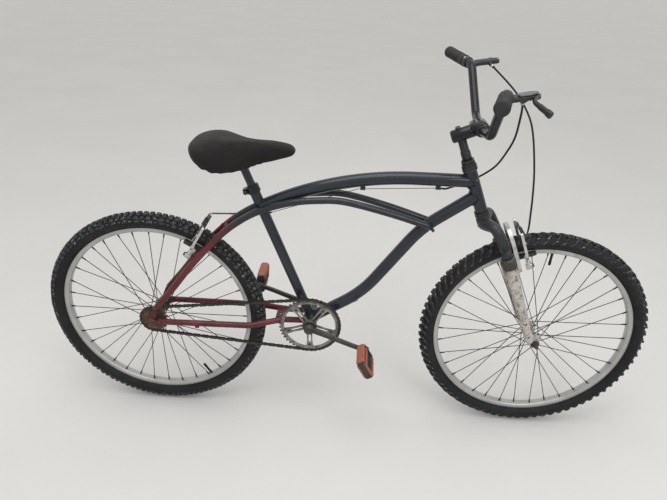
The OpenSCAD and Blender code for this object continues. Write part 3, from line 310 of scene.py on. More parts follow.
M["nipple"] = surface("spoke_nipple", (0.012, 0.012, 0.013), (0.022, 0.021, 0.021), 80, (0.35, 0.5), 0.3, specular=0.25)
M["crank_metal"] = surface("dark_crank", (0.060, 0.056, 0.052), (0.036, 0.034, 0.031), 30, (0.38, 0.55), 0.35,
                           spots=((0.22, 0.21, 0.19), 150, 0.60, 0.72), fine=(RUST_DARK, 260, 0.60, 0.70),
                           dust=((0.20, 0.19, 0.17), 0.45))
M["ring_dark"] = surface("ring_teeth", (0.12, 0.115, 0.105), (0.060, 0.056, 0.050), 60, (0.36, 0.55), 0.7,
                         spots=(GRIME, 120, 0.54, 0.68), fine=((0.26, 0.25, 0.24), 420, 0.60, 0.70))
M["twin_paint"] = surface("red_to_slate_paint", RED, RED_DARK, 22, (0.28, 0.44), coat=0.5, specular=0.15,
                          fade=("X", -0.036, 0.036, RED, SLATE),
                          spots=((0.16, 0.12, 0.12), 200, 0.66, 0.74), fine=(RUST_DARK, 220, 0.66, 0.72),
                          dust=((0.17, 0.14, 0.14), 0.18), grain=(420.0, 0.12, 0.0005))
M["weld"] = surface("weld_bead", SLATE, SLATE_BLUE, 60, (0.35, 0.5), coat=0.05,
                    fine=(RUST, 240, 0.70, 0.76), grain=(260.0, 0.3, 0.0008), specular=0.25)
M["headset_metal"] = surface("headset_metal", (0.040, 0.042, 0.043), (0.024, 0.025, 0.026), 40, (0.32, 0.5), 0.4,
                             spots=((0.12, 0.118, 0.112), 130, 0.62, 0.72), fine=(RUST_DARK, 220, 0.66, 0.74),
                             specular=0.35)


def saddle_material():
    """Knitted cover: fine ribs, soft sheen, and a painted brown highlight on the upward faces of the top."""
    n = Nodes("saddle_cover")
    broad = n.noise(11, 4)
    colour = n.blend(n.span(broad, 0.35, 0.65), (0.016, 0.0135, 0.013), (0.0115, 0.0105, 0.0115))
    # Painted highlight: upward faces turn a lighter brown, standing in for the sheen of light falling from above.
    painted_top_sheen = n.times(n.span(n.facing_up(), 0.35, 1.0), n.span(n.noise(26.0, 5), 0.4, 0.62))
    colour = n.blend(painted_top_sheen, colour, (0.028, 0.0215, 0.019))
    colour = n.blend(n.span(n.noise(700.0, 2), 0.56, 0.72, 0.0, 0.3), colour, (0.042, 0.038, 0.036))
    n.link(colour, n.shader.inputs["Base Color"])
    n.shader.inputs["Roughness"].default_value = 0.85
    n.shader.inputs["Sheen Weight"].default_value = 0.09
    n.shader.inputs["Sheen Roughness"].default_value = 0.45
    n.shader.inputs["Specular IOR Level"].default_value = 0.2
    weave = n.plus(n.cells(620.0, n.stretched((1, 1, 1.8))), n.times(n.noise(1500.0, 2), 0.7))
    n.bump(n.plus(weave, n.times(n.noise(60.0, 4), 1.5)), 0.5, 0.0008)
    return n.material


M["saddle_cover"] = saddle_material()

# The CAD nodes keep their shape and take the new materials by slot, apart from a few
SPECIAL = {"seat_clamp": "bar_paint", "headset": "headset_metal", "steerer": "headset_metal", "front_axle": "collar"}
slot_of = {p["node"]: p["material_slot"] for p in frame["record"]["subparts"]}
for name, node in nodes.items():
    key = "dark_steel" if name.endswith("noodle") else SPECIAL.get(name, slot_of[name])
    node.data.materials.clear()
    node.data.materials.append(M[key])


# Mesh making

def arc(n, start=0.0, end=360.0):
    return [math.radians(start + (end - start) * i / n) for i in range(n + (0 if end - start == 360 else 1))]


def curve(points, steps):
    """Smooth route through points."""
    p = [Vector(q) for q in points]
    out = []
    for i in range(len(p) - 1):
        a, b, c, d = p[max(i - 1, 0)], p[i], p[i + 1], p[min(i + 2, len(p) - 1)]
        for k in range(steps):
            t = k / steps
            out.append(b + 0.5 * t * ((c - a) + t * ((2 * a - 5 * b + 4 * c - d) + t * (3 * b - 3 * c + d - a))))
    return out + [p[-1]]


def bent(points, radius, steps=8):
    """Straight route with each corner rounded."""
    p = [Vector(q) for q in points]
    out = [p[0]]
    for a, b, c in zip(p, p[1:], p[2:]):
        d, e = (b - a).normalized(), (c - b).normalized()
        cut = radius * math.tan(d.angle(e) / 2)
        for k in range(steps + 1):
            t = k / steps
            out.append((1 - t) ** 2 * (b - cut * d) + 2 * t * (1 - t) * b + t * t * (b + cut * e))
    return out + [p[-1]]


def meet(point, direction, base, axis, radius):
    """Where a line meets a round tube from outside, or passes nearest to its middle line."""
    w = point - base
    w -= axis * w.dot(axis)
    d = direction - axis * direction.dot(axis)
    a, b, c = d.dot(d), w.dot(d), w.dot(w) - radius * radius
    return point + direction * ((-b - math.sqrt(max(0.0, b * b - a * c))) / a)


def mitre(centre, heading, radius, base, axis, main_radius, sides=24, lift=0.0):
    """Ring in which a round tube heading for another one ends on it."""
    side = Vector((0, 1, 0))
    if abs(heading.y) > 0.9:
        side = Vector((1, 0, 0))
    side = (side - heading * side.dot(heading)).normalized()
    other = heading.cross(side)
    return [meet(centre + (radius + lift) * (math.cos(a) * side + math.sin(a) * other) - heading * 60, heading,
                 base, axis, main_radius) for a in arc(sides)]


class Piece:
    """Points and faces of one piece, gathered from simple closed forms."""

    def __init__(self):
        self.points, self.faces, self.slots, self.smooth = [], [], [], []

    def add(self, points, faces, place, slot=0, smooth=True):
        first = len(self.points)
        self.points += [place @ Vector(p) for p in points]
        flip = place.determinant() < 0
        for face in faces:
            ids = [first + i for i in face]
            self.faces.append(ids[::-1] if flip else ids)
            self.slots.append(slot)
            self.smooth.append(smooth)

    def rings(self, rings, place, slot=0, smooth=True, closed=False, caps=True):
        """Skin over rings of equal length, listed so that the skin faces outwards."""
        n, count = len(rings[0]), len(rings)
        points = [p for ring in rings for p in ring]
        faces = []
        for i in range(count if closed else count - 1):
            a, b = i * n, ((i + 1) % count) * n
            faces += [[a + k, a + (k + 1) % n, b + (k + 1) % n, b + k] for k in range(n)]
        if caps and not closed:
            faces += [list(range(n))[::-1], [(count - 1) * n + k for k in range(n)]]
        self.add(points, faces, place, slot, smooth)

    def tube(self, route, radius, place, sides=12, slot=0, smooth=True, squash=1.0):
        """Round bar along a route; radius is a number or one for each point."""
        p = [Vector(q) for q in route]
        radii = radius if isinstance(radius, list) else [radius] * len(p)
        heading = [(p[min(i + 1, len(p) - 1)] - p[max(i - 1, 0)]).normalized() for i in range(len(p))]
        side = heading[0].orthogonal().normalized()
        rings = []
        for i, h in enumerate(heading):
            side = (side - h * side.dot(h)).normalized()
            other = h.cross(side)
            rings.append([p[i] + radii[i] * (math.cos(a) * side + squash * math.sin(a) * other) for a in arc(sides)])
        self.rings(rings, place, slot, smooth)

    def lathe(self, profile, place, sides=32, slot=0, smooth=True):
        """Turned form about the local Z axis; profile is (radius, height) from low to high."""
        self.rings([[(r * math.cos(a), r * math.sin(a), h) for a in arc(sides)] for r, h in profile],
                   place, slot, smooth)

    def rod(self, a, b, radius, place, sides=16, slot=0, chamfer=0.0):
        """Round bar from a to b with chamfered ends."""
        a, b = Vector(a), Vector(b)
        d = (b - a).normalized()
        turn = d.to_track_quat("Z", "Y").to_matrix().to_4x4()
        length = (b - a).length
        cut = chamfer or min(radius * 0.15, length * 0.2)
        self.lathe([(radius - cut, 0), (radius, cut), (radius, length - cut), (radius - cut, length)],
                   place @ Matrix.Translation(a) @ turn, sides, slot)

    def bead(self, centre, heading, radius, base, axis, main_radius, place, slot=0, thick=2.2):
        """Weld bead where a round tube ends on another one."""
        loop = mitre(Vector(centre), Vector(heading).normalized(), radius, base, axis, main_radius + 0.4, 60, 0.8)
        rings = []
        for i, p in enumerate(loop):
            h = (loop[(i + 1) % 60] - loop[i - 1]).normalized()
            side = h.orthogonal().normalized()
            other = h.cross(side)
            swell = thick * (1.0 + 0.16 * math.sin(i * 2.1) + 0.08 * math.sin(i * 5.3))
            rings.append([p + swell * (math.cos(a) * side + math.sin(a) * other) for a in arc(8)])
        for k in range(60):
            self.rings([rings[k], rings[(k + 1) % 60]], place, slot, True, caps=False)

    def prism(self, outline, low, high, place, slot=0, smooth=False, cut=0.0):
        """Plate: an outline in X and Y between two heights, its rim cut back a little."""
        if cut:
            middle = Vector((sum(x for x, _ in outline), sum(y for _, y in outline))) / len(outline)
            inner = [(x + (middle.x - x) * cut / max(1e-6, math.hypot(x - middle.x, y - middle.y)),
                      y + (middle.y - y) * cut / max(1e-6, math.hypot(x - middle.x, y - middle.y)))
                     for x, y in outline]
            levels = [(inner, low), (outline, low + cut), (outline, high - cut), (inner, high)]
        else:
            levels = [(outline, low), (outline, high)]
        self.rings([[(x, y, h) for x, y in line] for line, h in levels], place, slot, smooth)

    def ball(self, at, radius, place, slot=0, sides=16, flat=1.0):
        half = sides // 2
        profile = [(max(radius * math.sin(math.pi * i / half), radius * 0.02), -flat * radius * math.cos(math.pi * i / half))
                   for i in range(half + 1)]
        self.lathe(profile, place @ Matrix.Translation(at), sides, slot)

    def bolt(self, at, direction, radius, height, place, slot=0, socket=True):
        """Bolt or nut: a hexagon, or a round head with a hexagon socket, on a washer."""
        turn = Vector(direction).normalized().to_track_quat("Z", "Y").to_matrix().to_4x4()
        spot = place @ Matrix.Translation(at) @ turn
        self.lathe([(radius * 1.15, 0), (radius * 1.3, 0.2), (radius * 1.3, 0.9), (radius * 1.1, 1.1)], spot, 24, slot)
        if socket:
            self.lathe([(radius, 1), (radius, height * 0.8), (radius * 0.85, height), (radius * 0.5, height),
                        (radius * 0.48, height * 0.35), (radius * 0.05, height * 0.3)], spot, 24, slot)
        else:
            self.lathe([(radius * 0.97, 1), (radius, 1.4), (radius, height * 0.85), (radius * 0.86, height)],
                       spot, 6, slot, False)
            self.lathe([(radius * 0.5, height), (radius * 0.5, height * 1.35), (radius * 0.36, height * 1.5)], spot, 16, slot)

    def make(self, name, materials, body, replaces=(), bevel=0.0, subdivide=0, body_two=None):
        mesh = bpy.data.meshes.new(name)
        mesh.from_pydata([tuple(p) for p in self.points], [], self.faces)
        for key in materials:
            mesh.materials.append(M[key])
        mesh.polygons.foreach_set("material_index", self.slots)
        mesh.polygons.foreach_set("use_smooth", self.smooth)
        mesh.validate()
        made = bpy.data.objects.new(name, mesh)
        bpy.context.scene.collection.objects.link(made)
        if bevel:
            edge = made.modifiers.new("edge", "BEVEL")
            edge.width, edge.segments, edge.limit_method, edge.angle_limit = bevel, 2, "ANGLE", math.radians(50)
        if subdivide:
            soft = made.modifiers.new("soft", "SUBSURF")
            soft.levels = soft.render_levels = subdivide
        if body:
            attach(made, body)
        if replaces:
            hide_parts(*replaces)
        return made


# Tyres: a casing with separate rubber blocks; the blocks reach the CAD tyre's outside
CASING = [(281.0, 10.6), (286.2, 10.9), (289.0, 15.0), (294.0, 20.2), (300.0, 23.9), (305.5, 24.8), (310.8, 23.4),
          (315.6, 19.4), (319.4, 14.2), (321.7, 8.0), (322.3, 0.0)]
CROWN_R, CROWN_AT = 26.5, 303.5


def casing_point(offset):
    """Point and normal of the tyre's outside at an arc length from its crown."""
    a = offset / 24.0
    return (302.4 + 19.9 * math.cos(a), 24.0 * math.sin(a)), (math.cos(a), math.sin(a))


def tyre(name, node, body, place, rows, pitches):
    piece = Piece()
    half = curve([(y, r, 0) for r, y in CASING], 3)
    section = [(p.y, p.x) for p in half] + [(p.y, -p.x) for p in reversed(half[:-1])]
    ring = []
    for a in arc(144):
        ring.append([(r * math.cos(a), y, r * math.sin(a)) for r, y in section])
    piece.rings(ring, place, 0, True, closed=True)
    for i in range(pitches):
        for offset, width, phase, length, skew, height in rows:
            for side in (-1, 1):
                if offset == 0 and side < 0:
                    continue
                centre = (i + phase + (0.5 if side < 0 else 0.0)) / pitches * math.tau
                height_here = height * rng.uniform(0.86, 1.0)
                levels = []
                for rise, shrink in ((-1.2, 1.10), (0.72, 1.0), (1.0, 0.80)):
                    corners = []
                    for u, v in ((-1, -1), (1, -1), (1, 1), (-1, 1)):
                        s = side * offset + v * width / 2 * shrink
                        (r, y), (nr, ny) = casing_point(s)
                        up = height_here * rise if rise > 0 else rise
                        a = centre + (u * length / 2 * shrink + side * skew * v * width / 2) / 326.0
                        r, y = r + nr * up, y + ny * up
                        r, y = min(r, 329.8), max(-CROWN_R + 0.15, min(CROWN_R - 0.15, y))
                        corners.append((r * math.cos(a), y, r * math.sin(a)))
                    levels.append(corners)
                piece.rings(levels, place, 1, False)
    return piece.make(name, ["tyre_rubber", "tread_rubber"], body, [node])


# Tread blocks: a lighter rubber than the casing, with pale spots; partly scuffs, partly painted highlights on the lit
# sides of the knobs.
M["tread_rubber"] = surface("tread_rubber", (0.022, 0.0225, 0.024), (0.042, 0.042, 0.043), 40, (0.5, 0.75),
                            spots=((0.34, 0.335, 0.33), 130, 0.575, 0.64), grain=(700.0, 0.3, 0.0005), specular=0.3)

# Tread rows: [offset from the crown, width, phase, length, skew, height]
REAR_ROWS = [
    (6.0, 10.0, 0.00, 12.0, 0.10, 7.4), (6.4, 8.4, 0.50, 10.0, -0.12, 7.2),
    (17.6, 9.6, 0.12, 12.5, 0.25, 7.2), (17.0, 8.0, 0.62, 10.5, -0.2, 7.0),
    (27.0, 8.6, 0.02, 14.0, 0.15, 4.8), (26.2, 6.2, 0.52, 10.0, 0.10, 4.4),
]
FRONT_ROWS = [
    (0.0, 9.0, 0.0, 9.0, 0.0, 7.3), (8.0, 8.0, 0.40, 7.0, 0.75, 7.0), (16.0, 7.6, 0.62, 7.0, 0.85, 6.4),
    (24.0, 8.0, 0.82, 7.4, 0.95, 4.6), (30.0, 5.0, 0.10, 9.0, 0.55, 2.4),
]
tyre("rear_tyre_tread", "rear_tyre", "rear_wheel", REAR, REAR_ROWS, 56)
tyre("front_tyre_tread", "front_tyre", "front_wheel", FRONT_WHEEL, FRONT_ROWS, 78)

# Nipples at the spokes' outer ends, and one valve in each rim
SPOKES, RIM_IN, SPOKE_LEAN, HOLE_R = 36, 271.5, 60.0, 19.5


def wheel_fittings(name, body, place, right, left, valve_a):
    piece = Piece()
    for i in range(SPOKES):
        side = -1 if i % 2 == 0 else 1
        lead = 1 if (i // 2) % 2 == 0 else -1
        flange = -right if side < 0 else left
        a, h = math.tau * i / SPOKES, math.tau * i / SPOKES + lead * math.radians(SPOKE_LEAN)
        out = Vector((RIM_IN * math.cos(a), side * 2.4, -RIM_IN * math.sin(a)))
        hub = Vector((HOLE_R * math.cos(h), flange + side * lead * 3.1, -HOLE_R * math.sin(h)))
        # The CAD turns its spokes from +X towards +Z
        out.z, hub.z = -out.z, -hub.z
        d = (hub - out).normalized()
        turn = d.to_track_quat("Z", "Y").to_matrix().to_4x4()
        spot = place @ Matrix.Translation(out) @ turn
        piece.lathe([(2.9, -1.5), (3.0, 0.6), (2.2, 1.4), (2.0, 11.0), (1.5, 13.0)], spot, 10, 0)
    a = math.radians(valve_a)
    d = Vector((-math.cos(a), 0, -math.sin(a)))
    spot = place @ Matrix.Translation(-d * (RIM_IN + 3)) @ d.to_track_quat("Z", "Y").to_matrix().to_4x4()
    piece.lathe([(4.6, 1), (4.4, 6), (3.6, 10), (3.4, 30), (3.9, 31), (3.9, 41), (2.4, 43)], spot, 16, 1)
    return piece.make(name, ["nipple", "housing"], body)


wheel_fittings("rear_nipples", "rear_wheel", REAR, 28, 34, -58.0)
wheel_fittings("front_nipples", "front_wheel", FRONT_WHEEL, 30, 30, 88.0)

# Rims as low as the photograph shows: [radius, half width], from the spokes' side outwards
RIM_SECTION = [(271.5, 6.5), (272.2, 9.0), (274.4, 11.4), (276.6, 12.3), (285.0, 12.5), (285.5, 12.2), (285.5, 11.1), (279.5, 11.0)]


def rim(name, node, body, place):
    piece = Piece()
    section = RIM_SECTION + [(r, -y) for r, y in reversed(RIM_SECTION)]
    rings = [[(r * math.cos(a), y, r * math.sin(a)) for r, y in section] for a in arc(144)]
    piece.rings(rings, place, 0, True, closed=True)
    return piece.make(name, ["rim_metal"], body, [node])


rim("rear_rim_alloy", "rear_rim", "rear_wheel", REAR)
rim("front_rim_alloy", "front_rim", "front_wheel", FRONT_WHEEL)

# Chain: outer and inner links with pins, laid at one pitch along the loop
PITCH = 12.7
RING_TEETH, SPROCKET_TEETH, CHAIN_Y = 44, 20, 44.0
ring_r = PITCH / (2 * math.sin(math.pi / RING_TEETH))
sprocket_r = PITCH / (2 * math.sin(math.pi / SPROCKET_TEETH))
centres = math.hypot(STAY_L, BB_RISE)
run_a = math.asin((ring_r - sprocket_r) / centres)
run_l = centres * math.cos(run_a)


def chain_point(s):
    """Point of the pitch line at a distance along the loop, in the plane of the chain."""
    small, big = sprocket_r * (math.pi - 2 * run_a), ring_r * (math.pi + 2 * run_a)
    total = small + big + 2 * run_l
    s %= total
    up = math.pi / 2 + run_a
    if s < run_l:
        return Vector((sprocket_r * math.cos(up), sprocket_r * math.sin(up))) + s * Vector((math.cos(run_a), math.sin(run_a)))
    s -= run_l
    if s < big:
        a = up - s / ring_r
        return Vector((centres + ring_r * math.cos(a), ring_r * math.sin(a)))
    s -= big
    if s < run_l:
        start = Vector((centres + ring_r * math.cos(up), -ring_r * math.sin(up)))
        return start + s * Vector((-math.cos(run_a), math.sin(run_a)))
    s -= run_l
    a = -up - s / sprocket_r
    return Vector((sprocket_r * math.cos(a), sprocket_r * math.sin(a)))


def link_outline(a, b, r):
    """Figure of eight round two pins."""
    d = (b - a).normalized()
    side = Vector((-d.y, d.x))
    out = []
    for centre, start in ((b, -100), (a, 80)):
        for k in range(9):
            t = math.radians(start + 200 * k / 8)
            out.append(centre + r * (math.cos(t) * d + math.sin(t) * side))
        waist = (a + b) / 2 + side * (r * 0.72) * (1 if start < 0 else -1)
        out.append(waist)
    return [(p.x, p.y) for p in out]


def make_chain():
    piece = Piece()
    place = REAR @ turn_y(-math.degrees(math.atan2(BB_RISE, STAY_L))) @ shift(0, -CHAIN_Y, 0) @ Matrix.Rotation(math.pi / 2, 4, "X")
    total = sprocket_r * (math.pi - 2 * run_a) + ring_r * (math.pi + 2 * run_a) + 2 * run_l
    count = 2 * round(total / PITCH / 2)
    step = total / count
    for i in range(count):
        a, b = chain_point(i * step), chain_point((i + 1) * step)
        outer = i % 2 == 0
        for side in (-1, 1):
            low, high = ((2.75, 3.6) if outer else (1.75, 2.6))
            if side < 0:
                low, high = -high, -low
            piece.prism(link_outline(a, b, 4.0 if outer else 3.9), low, high, place, 0, False)
        pin = place @ Matrix.Translation((a.x, a.y, 0))
        piece.lathe([(1.6, -4.0), (1.9, -3.7), (1.9, 3.7), (1.6, 4.0)], pin, 10, 0)
        if 45 < i * step < run_l - 45 or run_l + ring_r * (math.pi + 2 * run_a) + 45 < i * step < total - sprocket_r * (math.pi - 2 * run_a) - 45:
            piece.lathe([(3.1, -1.65), (3.1, 1.65)], pin, 10, 0)
    return piece.make("chain_links", ["chain_steel"], "frame", ["chain"])


make_chain()

# Chainring: toothed plate, stepped inner rim and five slotted arms with bolts

def chainring():
    piece = Piece()
    middle, inner = -CHAIN_Y, ring_r - 12.5
    rings = []
    for i in range(RING_TEETH):
        for turn, rise in ((-0.5, -3.6), (-0.30, -2.2), (-0.11, 2.6), (0.11, 2.6), (0.30, -2.2)):
            a = math.tau * (i + turn) / RING_TEETH
            c, v, r = math.cos(a), math.sin(a), ring_r + rise
            rings.append([(inner * c, middle - 1.2, inner * v), (inner * c, middle + 1.2, inner * v),
                          (r * c, middle + 1.2, r * v), (r * c, middle - 1.2, r * v)])
    piece.rings(rings, CRANK, 0, False, closed=True)
    bands = ((ring_r - 10.4, 2.4, middle - 2.9, middle + 2.0), (ring_r - 6.0, 1.0, middle - 2.0, middle - 1.0))
    for r, wide, y0, y1 in bands:
        ring = []
        for a in arc(96):
            c, v = math.cos(a), math.sin(a)
            ring.append([((r + u) * c, w, (r + u) * v) for u, w in ((-wide, y0), (-wide, y1), (wide, y1), (wide, y0))])
        piece.rings(ring, CRANK, 1, False, closed=True)
    for k in range(5):
        spoke = CRANK @ turn_y(72.0 * k) @ SIDEWAYS
        for edge in (-1, 1):
            bar = [(18, edge * 8.4), (18, edge * 2.6), (34, edge * 3.4), (54, edge * 3.4), (62, edge * 0.2), (inner - 1, edge * 0.2),
                   (inner + 1.5, edge * 12.0), (70, edge * 9.6), (50, edge * 7.8), (30, edge * 8.2)]
            piece.prism(bar if edge < 0 else bar[::-1], middle - 3.9, middle + 1.2, spoke, 1, False, 0.5)
        head = CRANK @ turn_y(72.0 * k)
        piece.bolt((66.5, middle - 3.9, 0), (0, -1, 0), 3.1, 2.2, head, 2)
    hub = [(8.8, -9.5), (17.5, -9.5), (20.5, -8.6), (21.0, -6.5), (21.0, 2.0), (19.0, 3.0), (8.8, 3.0)]
    turned = [[(r * math.cos(t), middle + y, r * math.sin(t)) for r, y in hub] for t in arc(40)]
    piece.rings([ring[::-1] for ring in turned], CRANK, 2, True, closed=True)
    return piece.make("ring_plate", ["ring_dark", "ring_steel", "crank_metal"], "crank", ["chainring"])


def crank_fittings(name, side):
    """Crank arm with its boss, dust cap, eye and the pedal's axle."""
    piece = Piece()
    place = CRANK if side < 0 else CRANK @ turn_y(180)
    piece.rod((0, side * 53.5, 0), (0, side * 72, 0), 14.5, place, 40, 0, 1.6)
    turn = Matrix.Rotation(math.pi / 2 * (1 if side < 0 else -1), 4, "X")
    spot = place @ shift(0, side * 71.5, 0) @ turn
    piece.lathe([(12.5, 0), (12.5, 1.2), (11.0, 2.0), (8.6, 2.4), (8.2, 1.6), (0.4, 1.4)], spot, 32, 0)
    rings = []
    for k in range(13):
        t = k / 12
        x, y, half = t * CRANK_L, side * (64 + 15 * (t * t * (3 - 2 * t))), 7.6 - 1.6 * t
        rings.append([(x, y + side * v, w) for v, w in
                      ((-4.5, -half + 1.8), (-3.4, -half), (3.4, -half), (4.5, -half + 1.8),
                       (4.5, half - 1.8), (3.4, half), (-3.4, half), (-4.5, half - 1.8))])
    piece.rings(rings if side > 0 else rings[::-1], place, 0, False)
    piece.rod((CRANK_L, side * 72.5, 0), (CRANK_L, side * 85.5, 0), 11.0, place, 32, 0, 1.2)
    piece.rod((CRANK_L, side * 85, 0), (CRANK_L, side * 171, 0), 4.5, place, 16, 1)
    piece.rod((CRANK_L, side * 70.6, 0), (CRANK_L, side * 73, 0), 5.6, place, 6, 1)
    return piece.make(name, ["crank_metal", "dark_steel"], "crank", [name.replace("arm", "crank")])


chainring()
crank_fittings("arm_right", -1)
crank_fittings("arm_left", 1)


# Pedals: a cage of black resin with orange treads, tilted as they hang
PEDAL_L, PEDAL_W, PEDAL_H, PEDAL_NEAR = 84.0, 60.0, 26.0, 87.5


def pedal(name, side, tilt):
    piece = Piece()
    along = -side * CRANK_L
    a = math.radians(CRANK_ANGLE)
    place = REAR @ shift(STAY_L + along * math.cos(a), 0, BB_RISE - along * math.sin(a)) @ turn_y(tilt)
    if side < 0:
        place = place @ MIRROR_Y
    flat = place @ SIDEWAYS
    h, w, near, far = PEDAL_H / 2, PEDAL_W / 2, PEDAL_NEAR, PEDAL_NEAR + PEDAL_L
    plate = [(-h, -w + 8), (-h + 5, -w), (h - 5, -w), (h, -w + 8), (h, w - 8), (h - 5, w), (-h + 5, w), (-h, w - 8)]
    for y in (near, far - 5):
        piece.prism(plate, y, y + 5, flat, 0, False, 0.8)
    for edge in (-1, 1):
        lip = [(edge * (h - 4.5), -w + 6), (edge * (h + 0.2), -w + 9), (edge * (h + 0.2), w - 9), (edge * (h - 4.5), w - 6)]
        piece.prism(lip if edge > 0 else lip[::-1], far - 5.5, far + 0.7, flat, 1, False, 0.3)
    for low, high in ((-w, -w + 5), (w - 5, w)):
        tread = [(-h + 3, low), (h - 3, low), (h - 1, (low + high) / 2), (h - 3, high), (-h + 3, high), (-h + 1, (low + high) / 2)]
        piece.prism(tread, near + 4, far - 4, flat, 1, False, 0.4)
        for k in range(9):
            y = near + 9 + k * (PEDAL_L - 18) / 8
            middle = (low + high) / 2
            for edge in (-1, 1):
                tooth = [(edge * (h - 3.5), middle - 2.2), (edge * (h - 0.2), middle - 1.0), (edge * (h - 0.2), middle + 1.0),
                         (edge * (h - 3.5), middle + 2.2)]
                piece.prism(tooth if edge > 0 else tooth[::-1], y - 2.0, y + 2.0, flat, 1, False)
    for z in (-1, 1):
        strip = [(-h + 1, z * 11), (h - 1, z * 11), (h - 1, z * 17), (-h + 1, z * 17)]
        piece.prism(strip if z > 0 else strip[::-1], near + 4, far - 4, flat, 1 if z > 0 else 0, False, 0.5)
        web = [(-2, z * 9.5), (2, z * 9.5), (2, z * (w - 4)), (-2, z * (w - 4))]
        piece.prism(web if z > 0 else web[::-1], near + 3, far - 3, flat, 0, False)
    for y in (near + PEDAL_L * 0.33, near + PEDAL_L * 0.66):
        for z in (-1, 1):
            rib = [(-h + 3, z * 9), (h - 3, z * 9), (h - 3, z * (w - 4)), (-h + 3, z * (w - 4))]
            piece.prism(rib if z > 0 else rib[::-1], y - 1.5, y + 1.5, flat, 0, False)
    barrel = [(5.2, near), (8.6, near), (9.4, near + 3), (9.4, far - 8), (8.2, far - 1), (5.2, far - 1)]
    rings = [[(r * math.cos(t), y, r * math.sin(t)) for r, y in barrel] for t in arc(24)]
    piece.rings(rings, place, 0, True, closed=True)
    return piece.make(name, ["pedal_black", "pedal_plastic"], name.replace("resin", "pedal"),
                      [name.replace("resin", "pedal")])


pedal("resin_right", -1, -30)
pedal("resin_left", 1, 4)

# Grips: ribbed rubber with a flange at the inner end
GRIP_L, BAR_R = 120.0, 11.1


def bar_corners(side):
    """Corners of one side of the bar; the right side stands a little further forward."""
    ahead = 13 if side < 0 else 0
    return [Vector(p) for p in (
        (STEM_REACH, 0, STEM_Z), (STEM_REACH, side * 40, STEM_Z), (STEM_REACH + 4 + ahead / 4, side * 98, STEM_Z + 4),
        (STEM_REACH + 35 + ahead, side * 193, STEM_Z + 113), (STEM_REACH - 1 + ahead, side * 346, STEM_Z + 136))]


def bar_point(side, back):
    top, end = bar_corners(side)[-2:]
    return end + back * (top - end).normalized()


def bar():
    piece = Piece()
    right, left = (bent(bar_corners(side), 42, 10) for side in (-1, 1))
    piece.tube(right[:0:-1] + left[1:], BAR_R, STEER, 24)
    return piece.make("bar_tube", ["bar_paint"], "steering", ["handlebar"])


bar()


def grips():
    piece = Piece()
    for side in (-1, 1):
        start = bar_point(side, -3)
        d = (bar_point(side, 50) - start).normalized()
        spot = STEER @ Matrix.Translation(start) @ d.to_track_quat("Z", "Y").to_matrix().to_4x4()
        profile = [(0.5, 0), (11.5, 0.2), (15.2, 1.5), (16.0, 4), (15.9, 8), (14.4, 9)]
        h = 11.0
        while h < 96:
            profile += [(14.3, h), (15.7, h + 0.9), (15.7, h + 2.6), (14.3, h + 3.5)]
            h += 5.0
        profile += [(14.6, h), (15.0, 108), (15.9, 112), (16.0, 120), (15.0, 122.8), (11.3, 123)]
        piece.lathe(profile, spot, 40, 0)
    return piece.make("grip_rubbers", ["grip_rubber"], "steering", ["grips"])


grips()

# Saddle: a lofted soft body with a skirt, hollow below round the rails, blown up a little as cloth
SADDLE_L, SADDLE_W, SADDLE_H, SADDLE_Z, RIDER_X = 279.0, 188.5, 81.0, 558.5, 232.0
SADDLE_BACK, SADDLE_ROOF, HOLLOW_HALF = 0.305, 501.0, 46.0
# Rows: [share of the length, half width share, drop of the top, rise of the skirt]
SADDLE_TABLE = [
    (0, 0.34, 18, 46), (0.03, 0.64, 10, 37), (0.09, 0.88, 4, 24), (0.18, 1, 0, 10), (0.28, 0.98, 0, 2),
    (0.38, 0.82, 4, 0), (0.48, 0.62, 8, 1), (0.58, 0.46, 11, 8), (0.68, 0.38, 12, 17),
    (0.80, 0.33, 12, 26), (0.90, 0.28, 14, 32), (0.96, 0.235, 17, 35), (1, 0.15, 26, 42),
]


def saddle_section(t, share, drop, rise):
    """One upright section of the saddle, as points across and up."""
    w = max(share, 0.06) * SADDLE_W / 2 - 1.5
    top, low = SADDLE_Z - drop - 1.5, SADDLE_Z - SADDLE_H + rise + 1.0
    mid = low + 0.42 * (top - low)
    inner = max(1.5, min(HOLLOW_HALF, w - 12))
    roof = max(low + 0.4, SADDLE_ROOF) if 0.07 < t < 0.93 else low + 0.4
    crown = [(w * math.copysign(abs(math.cos(a)) ** 0.62, math.cos(a)), mid + abs(math.sin(a)) ** 0.74 * (top - mid))
             for a in arc(24, 0, 180)]
    hem = low + (2.2 if 0.1 < t < 0.45 else 0.3) * math.sin(70 * t)
    side = [(0.985, mid - 0.4 * (mid - low)), (0.95, hem + 5), (0.90, hem + 1)]
    below = [(-k * w, z) for k, z in side] + [(-max(inner + 1, w - 9), hem), (-inner, low + 1.0), (-inner, roof)]
    return crown + below + [(-y, z) for y, z in reversed(below)]


def saddle():
    piece = Piece()
    rows = curve([(t, w, top) for t, w, top, _ in SADDLE_TABLE], 4)
    lows = curve([(t, 0, low) for t, _, _, low in SADDLE_TABLE], 4)
    rings = []
    for row, low_row in zip(rows, lows):
        x = RIDER_X + (row.x - SADDLE_BACK) * (SADDLE_L - 4)
        rings.append([(x, y, z) for y, z in saddle_section(row.x, row.y, row.z, low_row.z)][::-1])
    piece.rings(rings, REAR, 0, True)
    made = piece.make("saddle_pad", ["saddle_cover"], None)
    settle(made, 0.005, 3.0, 0.004)
    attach(made, "frame")
    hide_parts("saddle")
    return made


